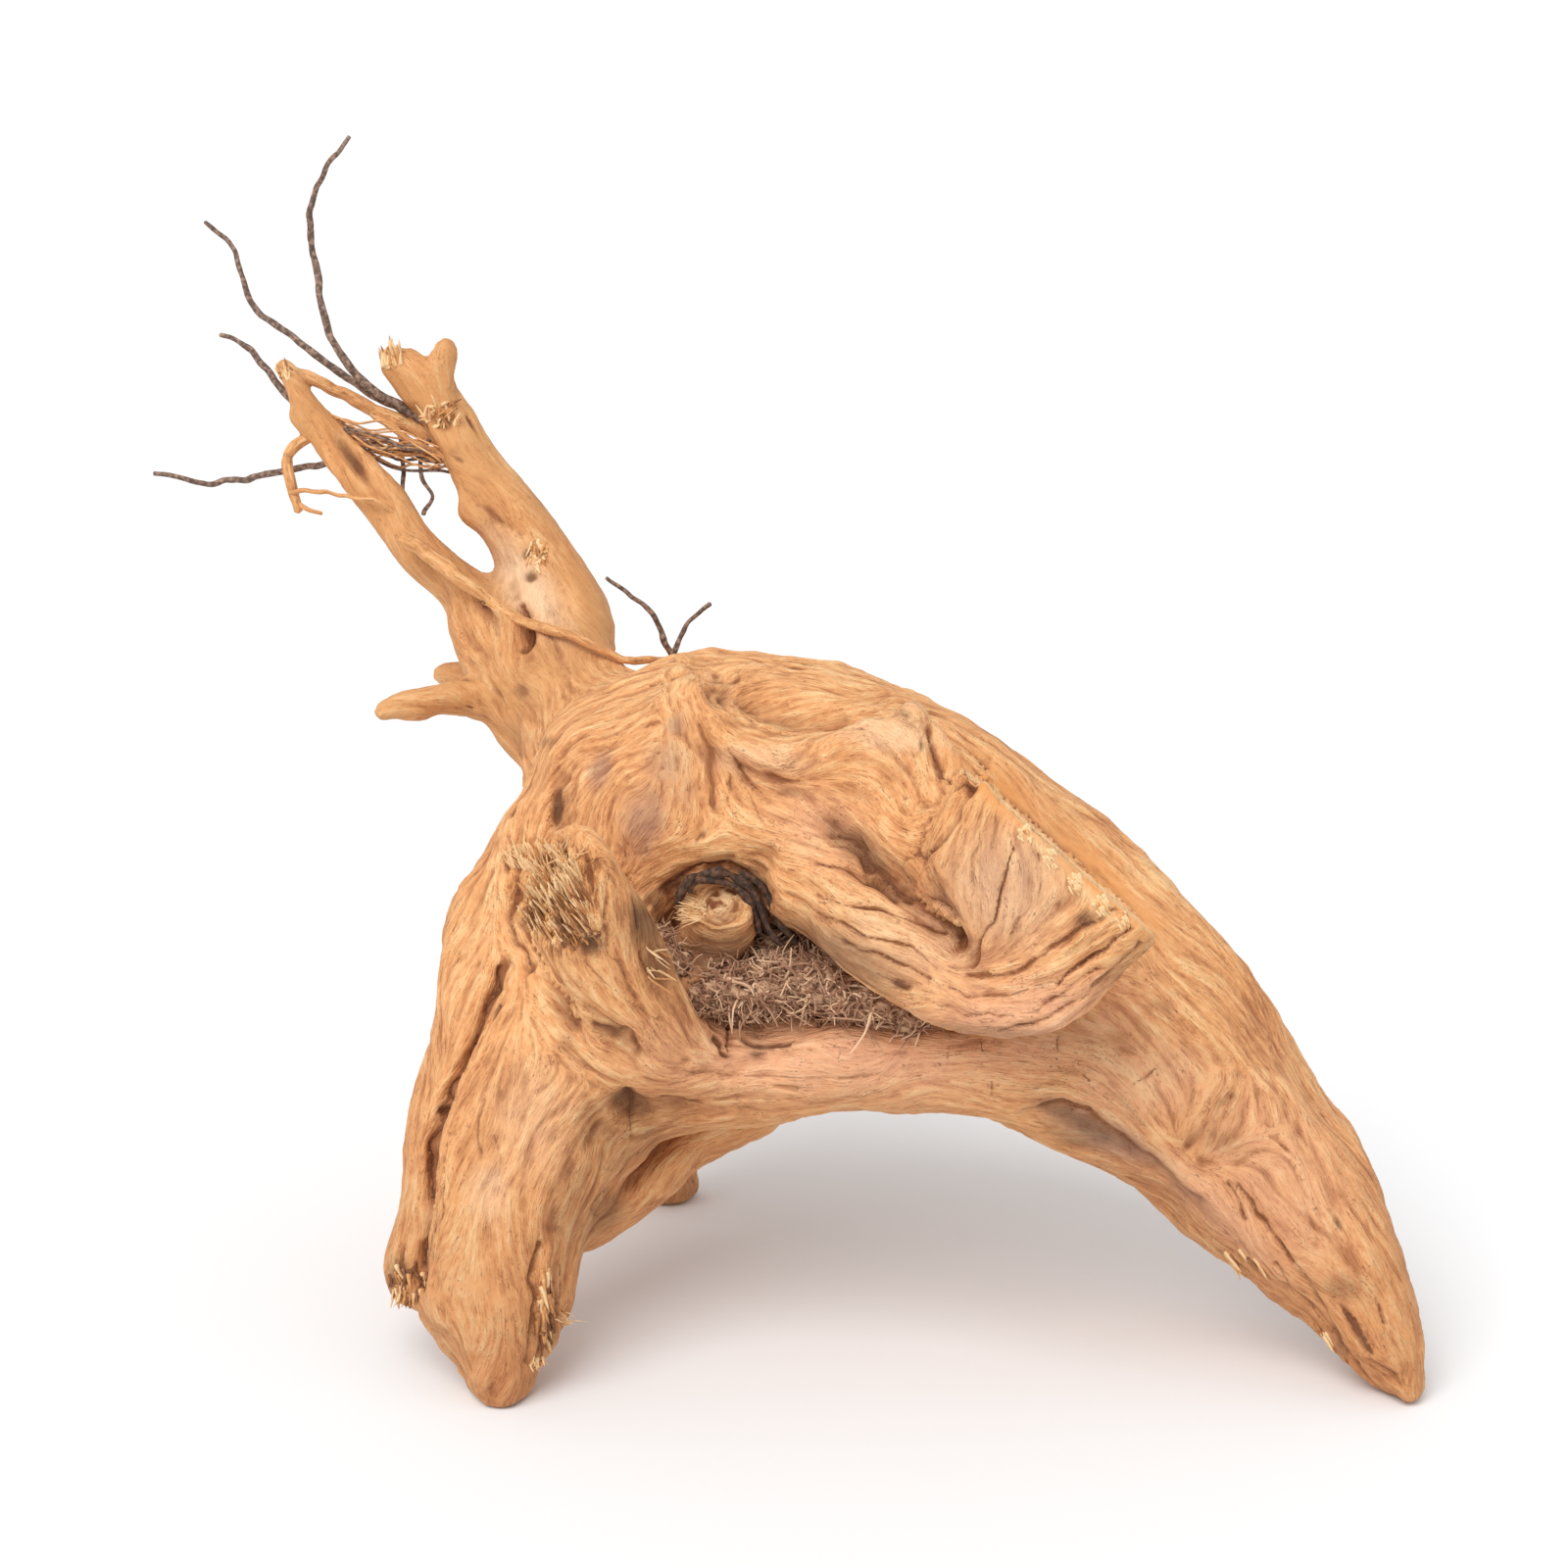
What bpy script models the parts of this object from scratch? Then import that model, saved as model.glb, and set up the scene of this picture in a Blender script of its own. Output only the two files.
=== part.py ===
"""A piece of driftwood: an eroded root stump that arches over three feet, with a forked branch behind it.

The wood grew as one piece, so it is one solid. Its limbs are curved spines with oval sections that
run into each other softly; hollows are spines too, and are taken out. Thin roots, twigs and splinters
are tubes joined to it. Dried soil and rootlets caught in the front pocket are the only other piece.
Spines are in millimetres: +X to the right, +Y to the back, +Z up, with the floor at Z = 0.
"""

import math

import bmesh
import bpy
import numpy as np
import openvdb
from mathutils import Vector

MM = 0.001

# Driving dimensions, millimetres
VOXEL_MM = 2.0                       # spacing of the grid that the wood's surface is read from
SOIL_VOXEL_MM = 1.6
EDGE_ROOM_MM = 24.0                  # how far round each limb its distances are worked out
FLUTE_SHARE = 0.045                  # how far the lobes of a limb's section stand out of its oval
FLUTE_TWIST_MM = 70.0                # length of limb over which the lobes turn by one radian
WOBBLE_MM = 2.2                      # how far the whole shape wanders from its smooth spines
WOBBLE_WAVES_MM = (83.0, 61.0, 47.0)
FOOT_FLAT_MM = 1.0                   # height that each foot is worn flat by
SEAT_GAP_MM = 0.35                   # between the soil and the wood it lies in
SPLINTERS = 15
BODY_TRIANGLES = 7900
SOIL_TRIANGLES = 900
FIELD_LOW = (-190, -150, -20)
FIELD_HIGH = (215, 175, 320)

# Each spine is a list of (x, y, z, half width across, half depth), under the width of its fillet.
LIMBS = {
    "crown": (14, [
        (-66, 5, 152, 20, 32), (-50, 10, 170, 28, 38), (-31, 15, 178, 31, 42), (-3, 15, 177, 33, 42),
        (28, 12, 169, 33, 40), (60, 8, 151, 33, 38), (89, 0, 128, 32, 36), (115, -10, 104, 31, 34),
        (136, -25, 79, 30, 30), (155, -45, 54, 28, 26), (171, -62, 33, 22, 21), (183, -75, 15, 13, 15),
        (191, -83, 3, 5, 7)]),
    "front_leg": (16, [
        (-50, -5, 149, 24, 34), (-67, -15, 126, 30, 34), (-77, -30, 98, 32, 32), (-82, -45, 75, 33, 30),
        (-86, -58, 54, 29, 27), (-89, -68, 35, 25, 24), (-87, -76, 19, 19, 19), (-85, -82, 6, 11, 13)]),
    "beam": (14, [
        (-61, -35, 90, 24, 28), (-31, -35, 92, 21, 28), (0, -38, 95, 19, 27), (31, -38, 97, 18, 27),
        (61, -36, 94, 18.5, 27), (86, -34, 88, 21, 28), (111, -34, 77, 24, 28), (132, -38, 60, 22, 26)]),
    "pocket_wall": (12, [
        (-44, 15, 126, 24, 24), (-13, 15, 116, 26, 24), (25, 12, 114, 26, 24), (57, 5, 119, 24, 24)]),
    "rear_leg": (16, [
        (-59, 45, 107, 22, 22), (-52, 58, 71, 19, 19), (-45, 70, 38, 14, 15), (-40, 80, 13, 10.5, 11),
        (-39, 83, 3, 9, 9)]),
    "back_buttress": (14, [
        (-54, 42, 158, 20, 18), (-62, 56, 128, 17, 16), (-58, 64, 92, 14, 14), (-49, 72, 54, 10, 11)]),
    "right_flange": (10, [
        (75, 12, 80, 17, 20), (101, 8, 67, 16, 18), (126, -6, 55, 14, 16), (148, -26, 38, 12, 14),
        (165, -48, 20, 8, 10)]),
    "neck": (16, [
        (-48, 30, 155, 28, 30), (-62, 52, 171, 26, 26), (-74, 72, 183, 24, 23), (-81, 88, 196, 24, 21),
        (-83, 94, 203, 22, 18)]),
    "right_arm": (10, [
        (-71, 94, 201, 13, 13), (-82, 106, 219, 12.5, 12), (-97, 117, 239, 11.5, 11),
        (-109, 126, 255, 9.8, 10), (-117, 132, 267, 9.6, 9), (-126, 136, 278, 8, 7.5),
        (-135, 139, 288, 6, 6)]),
    "left_arm": (10, [
        (-100, 94, 200, 11, 12), (-112, 104, 214, 10, 10), (-126, 112, 225, 7.6, 7.4),
        (-142, 122, 244, 7, 7), (-159, 132, 261, 6.4, 6), (-169, 140, 275, 5.2, 5),
        (-175, 146, 285, 4.4, 4.4)]),
    "back_ridge": (9, [
        (-44, 50, 176, 8, 9), (-10, 55, 178, 9, 9), (25, 50, 168, 9, 9), (58, 44, 148, 9, 10),
        (90, 33, 124, 9, 9), (118, 20, 98, 8, 8), (142, -2, 70, 7, 8)]),
    "back_ridge_low": (9, [(-36, 38, 112, 10, 12), (4, 40, 102, 11, 10), (42, 36, 100, 10, 10), (74, 26, 96, 9, 9)]),
    "back_spur": (6, [(6, 44, 150, 10, 10), (16, 62, 158, 6.5, 6), (21, 76, 163, 5.2, 5)]),
    "shoulder": (12, [(27, -20, 178, 18, 18), (42, -38, 174, 20, 18), (53, -56, 166, 19, 18)]),
    "fan": (12, [
        (57, -64, 131, 15, 13), (62, -73, 144, 23, 15), (71, -79, 159, 30, 16), (80, -83, 175, 36, 16),
        (92, -87, 191, 39, 16)]),
    "elbow": (9, [
        (0, -36, 160, 13, 14), (16, -48, 151, 15, 16), (31, -61, 141, 16, 17), (47, -71, 134, 15, 17),
        (63, -78, 131, 14, 17), (78, -84, 136, 13, 17), (92, -88, 148, 12, 16), (103, -90, 161, 12, 16)]),
    "fan_web": (9, [(70, -77, 143, 13, 15), (83, -84, 152, 15, 15), (97, -89, 166, 15, 15)]),
    "face": (16, [
        (-34, -18, 168, 24, 24), (-9, -22, 166, 27, 24), (15, -24, 163, 26, 22), (32, -30, 156, 20, 19)]),
    "broken_stump": (11, [
        (-36, -54, 99, 17, 16), (-45, -62, 119, 17, 16), (-52, -71, 139, 17, 15), (-59, -78, 157, 16.5, 14),
        (-62, -81, 170, 15, 13)]),
    "forehead": (10, [(-41, -14, 158, 20, 20), (-32, -16, 172, 23, 22), (-21, -14, 183, 20, 20)]),
    "brow": (6, [
        (-34, -16, 200, 6, 7), (-20, -25, 198, 7, 8), (0, -30, 190, 9, 10), (21, -32, 189, 9, 10),
        (37, -34, 194, 9, 10), (47, -42, 186, 9, 9), (55, -54, 178, 9, 9)]),
    "toe": (7, [
        (-79, -5, 153, 12, 16), (-91, -12, 135, 15, 18), (-97, -22, 115, 12, 16), (-104, -35, 94, 12, 15),
        (-108, -45, 71, 11, 14), (-111, -52, 48, 10, 13), (-116, -57, 30, 8, 12), (-117, -60, 26, 6, 9)]),
    "flange": (8, [(-62, -45, 42, 8, 10), (-49, -30, 49, 9, 12), (-32, -15, 58, 11, 15), (-12, -5, 70, 15, 19)]),
    "horn": (6, [
        (-96, 78, 186, 9, 9), (-113, 72, 184, 5.6, 5.6), (-125, 66, 182, 4.8, 4.8), (-133, 62, 180, 3.6, 3.6)]),
    "dark_stub": (6, [(-100, 100, 184, 8, 8), (-119, 118, 180, 4.4, 4.4)]),
    "arm_stub": (4, [(-122, 134, 276, 5.5, 5.5), (-120, 136, 287, 4.8, 4.8), (-118, 137, 293, 4.5, 4.5)]),
}

# Hollows are spines too, with the half widths of what is taken out.
HOLLOWS = {
    "valley": (7, [
        (-14, -16, 207, 5, 5), (-4, -18, 205, 8, 8), (11, -19, 202, 9, 9), (24, -21, 200, 8, 8),
        (38, -22, 198, 6, 6), (44, -22, 193, 5, 5)]),
    "smooth_channel": (6, [
        (46, -22, 190, 5, 5), (60, -27, 182, 9, 9), (80, -32, 169, 13, 12), (100, -38, 151, 14, 12),
        (117, -44, 135, 12, 11), (130, -50, 121, 8, 8)]),
    "face_crease": (5, [
        (14, -48, 174, 3, 3), (24, -55, 166, 4, 4), (34, -66, 158, 4.5, 4.5), (47, -80, 149, 4, 4),
        (56, -92, 141, 3, 3)]),
    "left_slit": (5, [(-70, -14, 180, 3, 4), (-71, -21, 170, 3.2, 4), (-70, -27, 160, 3, 4)]),
    "under_cavity": (11, [(-54, -66, 82, 6, 4), (-43, -64, 83, 7, 4), (-34, -62, 84, 5, 4)]),
    "stump_crease": (5, [(-64, -68, 132, 3, 3), (-55, -78, 118, 4, 4), (-44, -76, 107, 4, 4)]),
    "crack": (1.5, [
        (-88, -42, 128, 1.8, 4), (-93, -49, 113, 2.3, 5), (-103, -57, 95, 2.4, 5), (-106, -63, 81, 2.3, 5),
        (-106, -69, 68, 2.3, 5), (-110, -73, 51, 2.3, 5), (-109, -76, 35, 2.6, 5)]),
    "leg_dent": (9, [(141, -64, 96, 6, 6), (137, -64, 84, 6, 6)]),
    "foot_split": (2, [(160, -90, 34, 2, 5), (167, -92, 22, 2.4, 6), (174, -94, 11, 2.4, 6)]),
    "back_hollow": (8, [(-8, 66, 138, 7, 7), (22, 62, 136, 11, 10), (52, 52, 122, 9, 9), (74, 42, 110, 7, 7)]),
    "back_knothole": (3, [(84, 46, 140, 6, 6), (80, 30, 132, 5, 5)]),
    "back_groove": (4, [(-84, 30, 150, 4, 5), (-86, 22, 120, 4.5, 6), (-92, 6, 90, 4, 5), (-98, -10, 62, 3.5, 4)]),
    "neck_slit": (3, [(-88, 78, 216, 2.5, 4), (-86, 66, 208, 3, 5), (-85, 58, 200, 2.5, 4)]),
    "arm_groove": (3, [(-161, 125, 264, 2.2, 2.4), (-153, 120, 257, 2.8, 3), (-146, 116, 250, 2.8, 3), (-139, 113, 244, 2, 2)]),
    "round_stub_ring": (3, [(-20, -46, 142, 14, 14), (-15, -58, 162, 14.5, 14.5)]),
}

# These limbs are added after the hollows are taken out.
LATE_LIMBS = {
    "round_stub": (3, [(-27, -22, 113, 13, 13), (-24, -36, 130, 12, 12), (-20, -50, 150, 11.6, 11.6), (-17, -59, 164, 11.6, 11.6)]),
    "small_knot": (2, [(-27, -40, 124, 5, 5), (-27, -56, 127, 4, 4)]),
}

# Where limbs end in a plane: a point of it, its outward normal, and how far past it the limb is left
# for a clean saw cut. The two saw cuts are then made with a disc this wide and this thick.
SAWN_POINT = (81, -86, 177)
SAWN_NORMAL = (0.66, 0.20, 0.72)
STUB_POINT = (-18, -55, 152)
STUB_NORMAL = (0.05, -0.45, 0.89)
BROKEN_POINT = (-61, -88, 156)
BROKEN_NORMAL = (-0.70, -0.65, 0.30)
CUTS = {
    "fan": (SAWN_POINT, SAWN_NORMAL, 4.0),
    "elbow": (SAWN_POINT, SAWN_NORMAL, 4.0),
    "fan_web": (SAWN_POINT, SAWN_NORMAL, 4.0),
    "broken_stump": (BROKEN_POINT, BROKEN_NORMAL, 0.0),
    "round_stub": (STUB_POINT, STUB_NORMAL, 3.0),
}
SAW_DISCS = {
    "fan_saw": (SAWN_POINT, SAWN_NORMAL, 47.0, 14.0),
    "stub_saw": (STUB_POINT, STUB_NORMAL, 14.0, 8.0),
}

# Thin roots and twigs: (x, y, z, radius).
THIN_ROOTS = {
    "stick": [(-174, 146, 284, 2.3), (-154, 144, 277, 2.4), (-137, 141, 268, 2.6), (-119, 136, 260, 3.2)],
    "loop_twig": [
        (-158, 134, 260, 2.6), (-165, 136, 263, 2.2), (-172, 132, 256, 2.0), (-171, 130, 244, 1.9),
        (-170, 129, 236, 1.5)],
    "crossing_twig": [
        (-129, 104, 232, 2.6), (-118, 99, 227, 2.6), (-105, 92, 221, 2.4), (-100, 84, 216, 2.0),
        (-88, 74, 210, 1.8), (-76, 70, 205, 1.7), (-64, 70, 200, 1.6), (-53, 70, 197, 1.4),
        (-39, 69, 196, 1.2), (-21, 72, 198, 0.9)],
    "twig_tip_left": [(-38, 70, 196, 1.1), (-40, 68, 203, 1.0), (-43, 66, 212, 0.9), (-49, 64, 220, 0.8), (-58, 62, 227, 0.7)],
    "twig_tip_right": [(-39, 69, 196, 1.0), (-33, 67, 207, 0.8), (-24, 64, 216, 0.7)],
    "top_root": [
        (-124, 136, 266, 1.5), (-142, 142, 278, 1.5), (-153, 147, 289, 1.4), (-160, 150, 303, 1.3),
        (-164, 152, 322, 1.2), (-162, 150, 341, 1.1), (-157, 146, 357, 0.9), (-149, 142, 366, 0.7)],
    "upper_root": [
        (-126, 138, 266, 1.4), (-147, 150, 278, 1.4), (-164, 158, 288, 1.3), (-178, 163, 297, 1.2),
        (-185, 166, 303, 1.1), (-189, 168, 313, 1.0), (-194, 168, 324, 0.9), (-203, 166, 332, 0.7)],
    "middle_root": [
        (-167, 140, 270, 1.5), (-176, 146, 276, 1.4), (-183, 150, 286, 1.2), (-188, 152, 293, 1.1),
        (-197, 152, 297, 0.8)],
    "left_root": [
        (-152, 130, 256, 1.4), (-164, 138, 252, 1.2), (-176, 140, 249, 1.2), (-192, 140, 248, 1.1),
        (-205, 138, 246, 1.0), (-221, 134, 249, 0.8)],
    "thick_strand": [(-146, 142, 272, 1.2), (-133, 136, 261, 1.4), (-124, 130, 257, 1.5), (-108, 122, 250, 1.6)],
    "hanging_root": [(-137, 141, 269, 0.9), (-136, 140, 262, 0.8), (-135, 138, 251, 0.8), (-134, 134, 240, 0.7)],
    "looped_root": [(-122, 131, 262, 0.9), (-128, 133, 255, 0.8), (-128, 133, 247, 0.8), (-124, 130, 241, 0.7), (-126, 122, 235, 0.8)],
    "side_fibre": [(-171, 129, 243, 0.9), (-161, 124, 244, 0.8), (-151, 116, 244, 0.7), (-140, 110, 243, 0.8), (-134, 112, 238, 0.9)],
    "end_fibre": [(-170, 129, 239, 0.9), (-166, 128, 237, 0.8), (-161, 127, 236, 0.7)],
}
STRANDS = 7                          # fine roots strung between the two arms, behind the stick
STRAND_START = (-160, 136, 268)      # inside the left arm
STRAND_END = (-117, 128, 254)        # inside the right arm
STRAND_SPREAD_MM = 4.0
STRAND_SAG_MM = 6.0

# Lumps of dried soil in the pocket, as a spine along it and a bank behind.
SOIL_LUMPS = [
    [(-44, -40, 131, 8, 12), (-33, -38, 124, 9, 17), (-17, -36, 122, 9, 19), (0, -34, 123, 9, 20), (15, -38, 121, 8, 18),
     (28, -44, 118, 7, 14), (38, -48, 116, 5, 9)],
    [(-38, -22, 142, 8, 8), (-16, -18, 142, 9, 8), (12, -20, 136, 9, 8)],
]
SOIL_GRAIN_MM = 1.3                  # height of the soil's lumps
SOIL_LOW = (-70, -80, 90)
SOIL_HIGH = (60, 10, 170)

WOOD_COLOUR = (0.62, 0.36, 0.17, 1)
SOIL_COLOUR = (0.13, 0.075, 0.045, 1)


def wobble(points):
    """How far slow crossing sine waves move the points, so that no limb is quite straight."""
    x, y, z = (points[..., i] for i in range(3))
    long_wave, mid_wave, short_wave = (2 * math.pi / wave for wave in WOBBLE_WAVES_MM)
    return WOBBLE_MM * np.stack([
        np.sin(y * long_wave + 1.3) * 0.6 + np.sin(z * short_wave + x * long_wave) * 0.5,
        np.sin(x * mid_wave + 0.4) * 0.7 + np.sin(z * mid_wave + 2.1) * 0.7,
        np.sin(x * short_wave + 2.6) * 0.4 + np.sin(y * mid_wave - 0.8) * 0.6], -1)


def smooth_spine(nodes, pieces=3):
    """A Catmull-Rom curve through the nodes, with every value of a node carried along it."""
    nodes = np.array(nodes, float)
    padded = np.vstack([2 * nodes[0] - nodes[1], nodes, 2 * nodes[-1] - nodes[-2]])
    t = np.linspace(0, 1, pieces, endpoint=False)[:, None]
    spans = []
    for before, start, end, after in zip(padded, padded[1:], padded[2:], padded[3:]):
        spans.append(0.5 * (
            2 * start + (end - before) * t
            + (2 * before - 5 * start + 4 * end - after) * t**2
            + (3 * start - before - 3 * end + after) * t**3))
    return np.vstack([*spans, nodes[-1:]])


def segment_distance(points, start, end):
    """Distance to a tapered, fluted oval rod between two spine nodes, less than 0 inside it."""
    axis = end[:3] - start[:3]
    length = np.linalg.norm(axis)
    along = axis / length
    side = np.cross(along, (0, 1, 0))
    side = side / np.linalg.norm(side) if np.linalg.norm(side) > 0.2 else np.array((1.0, 0, 0))
    deep = np.cross(side, along)
    offset = points - start[:3]
    share = np.clip(offset @ along / length, 0, 1)
    across_half = start[3] + share * (end[3] - start[3])
    deep_half = start[4] + share * (end[4] - start[4])
    offset = offset - share[..., None] * axis
    across = offset @ side / across_half
    depth = offset @ deep / deep_half
    beyond = offset @ along / np.minimum(across_half, deep_half)
    oval = np.sqrt(across**2 + depth**2 + beyond**2) + 1e-6
    turn = np.arctan2(depth, across)
    travel = (points @ along) / FLUTE_TWIST_MM
    lobes = np.sin(3 * turn + travel) + 0.6 * np.sin(5 * turn - 1.7 * travel + 1.0)
    oval = oval / (1 + FLUTE_SHARE * lobes * np.hypot(across, depth) / oval)
    return np.linalg.norm(offset, axis=-1) * (1 - 1 / oval)


class Field:
    """Signed distances on a grid of points, in millimetres: less than 0 inside the solid."""

    def __init__(self, low, high, step):
        self.low = np.array(low, float)
        self.step = step
        self.shape = tuple(int(n) for n in np.ceil((np.array(high) - self.low) / step))
        self.values = np.full(self.shape, EDGE_ROOM_MM, np.float32)

    def near(self, spine):
        """The part of the grid round a spine, as slices and its wandering points."""
        reach = spine[:, 3:].max(1, keepdims=True) + EDGE_ROOM_MM
        first = np.floor(((spine[:, :3] - reach).min(0) - self.low) / self.step).astype(int)
        last = np.ceil(((spine[:, :3] + reach).max(0) - self.low) / self.step).astype(int)
        first = np.clip(first, 0, self.shape)
        last = np.clip(last, 0, self.shape)
        where = tuple(slice(a, b) for a, b in zip(first, last))
        axes = [self.low[i] + self.step * np.arange(first[i], last[i]) for i in range(3)]
        points = np.stack(np.meshgrid(*axes, indexing="ij"), -1)
        return where, (points + wobble(points)).astype(np.float32)

    def spine_distance(self, nodes, cut=None):
        """The distance to a whole spine in the part of the grid round it. A cut ends it in a plane."""
        spine = smooth_spine(nodes)
        where, points = self.near(spine)
        distance = np.full(points.shape[:3], 1e3, np.float32)
        for start, end in zip(spine, spine[1:]):
            inner, _ = self.near(np.array([start, end]))
            local = tuple(slice(i.start - w.start, i.stop - w.start) for i, w in zip(inner, where))
            distance[local] = np.minimum(distance[local], segment_distance(points[local], start, end))
        if cut:
            point, normal, past = cut
            plane = (points - np.array(point)) @ np.array(normal) / np.linalg.norm(normal)
            distance = np.maximum(distance, plane - past)
        return where, distance

    def add(self, nodes, blend, cut=None):
        """Joins a limb to what is there, with a fillet about as wide as blend."""
        where, distance = self.spine_distance(nodes, cut)
        here = self.values[where]
        share = np.clip(0.5 + 0.5 * (here - distance) / blend, 0, 1)
        self.values[where] = here + (distance - here) * share - blend * share * (1 - share)

    def carve(self, nodes, blend):
        """Takes a hollow out of what is there, with a rim rounded over about blend."""
        where, distance = self.spine_distance(nodes)
        here = self.values[where]
        share = np.clip(0.5 + 0.5 * (-distance - here) / blend, 0, 1)
        self.values[where] = here + (-distance - here) * share + blend * share * (1 - share)

    def surface(self):
        """Points and quads of the surface where the distance is 0."""
        grid = openvdb.FloatGrid(EDGE_ROOM_MM)
        grid.copyFromArray(self.values)
        points, quads = grid.convertToQuads()
        return points * self.step + self.low, quads


def new_object(name, points, faces):
    """A mesh object from points in millimetres."""
    mesh = bpy.data.meshes.new(name)
    mesh.from_pydata((np.asarray(points) * MM).tolist(), [], [list(map(int, f)) for f in faces])
    mesh.update()
    obj = bpy.data.objects.new(name, mesh)
    bpy.context.scene.collection.objects.link(obj)
    return obj


def apply_modifiers(obj):
    """Replaces an object's mesh by the evaluated one, and clears its modifiers."""
    bpy.context.view_layer.update()
    evaluated = obj.evaluated_get(bpy.context.evaluated_depsgraph_get())
    mesh = bpy.data.meshes.new_from_object(evaluated)
    obj.modifiers.clear()
    obj.data = mesh
    obj.data.name = obj.name


def thin_out(obj, triangles):
    """Collapses edges until about so many triangles are left, fewest where it is flat."""
    count = sum(len(p.vertices) - 2 for p in obj.data.polygons)
    thin = obj.modifiers.new("thin_out", "DECIMATE")
    thin.ratio = min(1.0, triangles / count)
    apply_modifiers(obj)


def combine(obj, tools, operation):
    """One Boolean with a list of objects, which are then removed."""
    group = bpy.data.collections.new("tools")
    bpy.context.scene.collection.children.link(group)
    for tool in tools:
        group.objects.link(tool)
    step = obj.modifiers.new("combine", "BOOLEAN")
    step.operation = operation
    step.operand_type = "COLLECTION"
    step.collection = group
    step.solver = "MANIFOLD" if operation == "UNION" else "EXACT"
    apply_modifiers(obj)
    for tool in tools:
        bpy.data.objects.remove(tool)
    bpy.data.collections.remove(group)


def keep_largest(obj):
    """Deletes every loose island of a mesh but the one with the most faces."""
    bm = bmesh.new()
    bm.from_mesh(obj.data)
    left = set(bm.verts)
    islands = []
    while left:
        front = [left.pop()]
        island = list(front)
        while front:
            ends = {e.other_vert(v) for v in front for e in v.link_edges}
            front = list(ends & left)
            left -= ends
            island += front
        islands.append(island)
    islands.sort(key=len)
    bmesh.ops.delete(bm, geom=[v for island in islands[:-1] for v in island], context="VERTS")
    bm.to_mesh(obj.data)
    bm.free()


def tube(name, nodes, sides, pieces=2):
    """A thin root: rings of a few sides round a smooth spine of (x, y, z, radius), closed at both ends."""
    spine = smooth_spine(nodes, pieces)
    centres = spine[:, :3] - wobble(spine[:, :3])
    along = np.gradient(centres, axis=0)
    along /= np.linalg.norm(along, axis=1, keepdims=True)
    out = np.cross(along, (0.3, 0.2, 0.93))
    out /= np.linalg.norm(out, axis=1, keepdims=True)
    turn = np.arange(sides) * 2 * math.pi / sides
    ring = out[:, None] * np.cos(turn)[:, None] + np.cross(along, out)[:, None] * np.sin(turn)[:, None]
    points = (centres[:, None] + ring * spine[:, None, 3:]).reshape(-1, 3)
    faces = []
    for row in range(len(spine) - 1):
        for i in range(sides):
            first = row * sides
            j = (i + 1) % sides
            faces.append((first + i, first + j, first + sides + j, first + sides + i))
    faces.append(tuple(range(sides))[::-1])
    faces.append(tuple(range((len(spine) - 1) * sides, len(spine) * sides)))
    return new_object(name, points, faces)


def strands():
    """Fine roots strung in a loose bundle from one arm to the other."""
    rng = np.random.default_rng(5)
    made = []
    for i in range(STRANDS):
        start = np.array(STRAND_START) + rng.normal(0, 1.3, 3)
        end = np.array(STRAND_END) + rng.normal(0, 1.5, 3)
        nodes = []
        for share in np.linspace(0, 1, 5):
            apart = math.sin(math.pi * share)
            shift = rng.normal(0, STRAND_SPREAD_MM, 3) * apart - np.array((0, 0, STRAND_SAG_MM)) * apart * rng.random()
            nodes.append((*(start + (end - start) * share + shift), rng.uniform(0.7, 0.9)))
        made.append(tube("strand_%d" % i, nodes, 4))
    return made


def splinters():
    """Sharp torn fibres that stand on the upper edge of the broken stump."""
    rng = np.random.default_rng(11)
    normal = Vector(BROKEN_NORMAL).normalized()
    up = Vector((-0.15, -0.15, 1)).normalized()
    across = up.cross(normal).normalized()
    made = []
    for i in range(SPLINTERS):
        share = (i + 0.5) / SPLINTERS * 2 - 1
        foot = Vector(BROKEN_POINT) + across * share * 11 + up * (9 - 9 * share**2 + rng.uniform(-4, 3)) - normal * 3
        lean = up + normal * rng.uniform(-0.1, 0.7) + across * rng.uniform(-0.5, 0.5)
        tip = foot + lean.normalized() * rng.uniform(9, 15)
        middle = (foot + tip) / 2 + normal * rng.uniform(0, 0.8)
        made.append(tube("splinter_%d" % i, [(*foot, 1.7), (*middle, 1.2), (*tip, 0.25)], 4, 1))
    return made


def saw_disc(name, point, normal, radius, thickness):
    """A cutter that takes away what lies just past a saw cut."""
    centre = Vector(point) - Vector(wobble(np.array(point, float)))
    normal = Vector(normal).normalized()
    bm = bmesh.new()
    bmesh.ops.create_cone(
        bm, cap_ends=True, segments=32, radius1=radius * MM, radius2=radius * MM, depth=thickness * MM)
    bm.transform(normal.to_track_quat("Z", "Y").to_matrix().to_4x4())
    bmesh.ops.translate(bm, verts=bm.verts, vec=(centre + normal * thickness / 2) * MM)
    mesh = bpy.data.meshes.new(name)
    bm.to_mesh(mesh)
    bm.free()
    cutter = bpy.data.objects.new(name, mesh)
    cutter.hide_render = True
    cutter.display_type = "WIRE"
    bpy.context.scene.collection.objects.link(cutter)
    return cutter


def wear_feet_flat(obj):
    """Cuts everything below the height the feet are worn to, and closes the cuts."""
    bm = bmesh.new()
    bm.from_mesh(obj.data)
    bmesh.ops.bisect_plane(
        bm, geom=bm.verts[:] + bm.edges[:] + bm.faces[:], plane_co=(0, 0, FOOT_FLAT_MM * MM),
        plane_no=(0, 0, 1), clear_inner=True)
    bmesh.ops.holes_fill(bm, edges=[e for e in bm.edges if e.is_boundary])
    bm.to_mesh(obj.data)
    bm.free()


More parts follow.
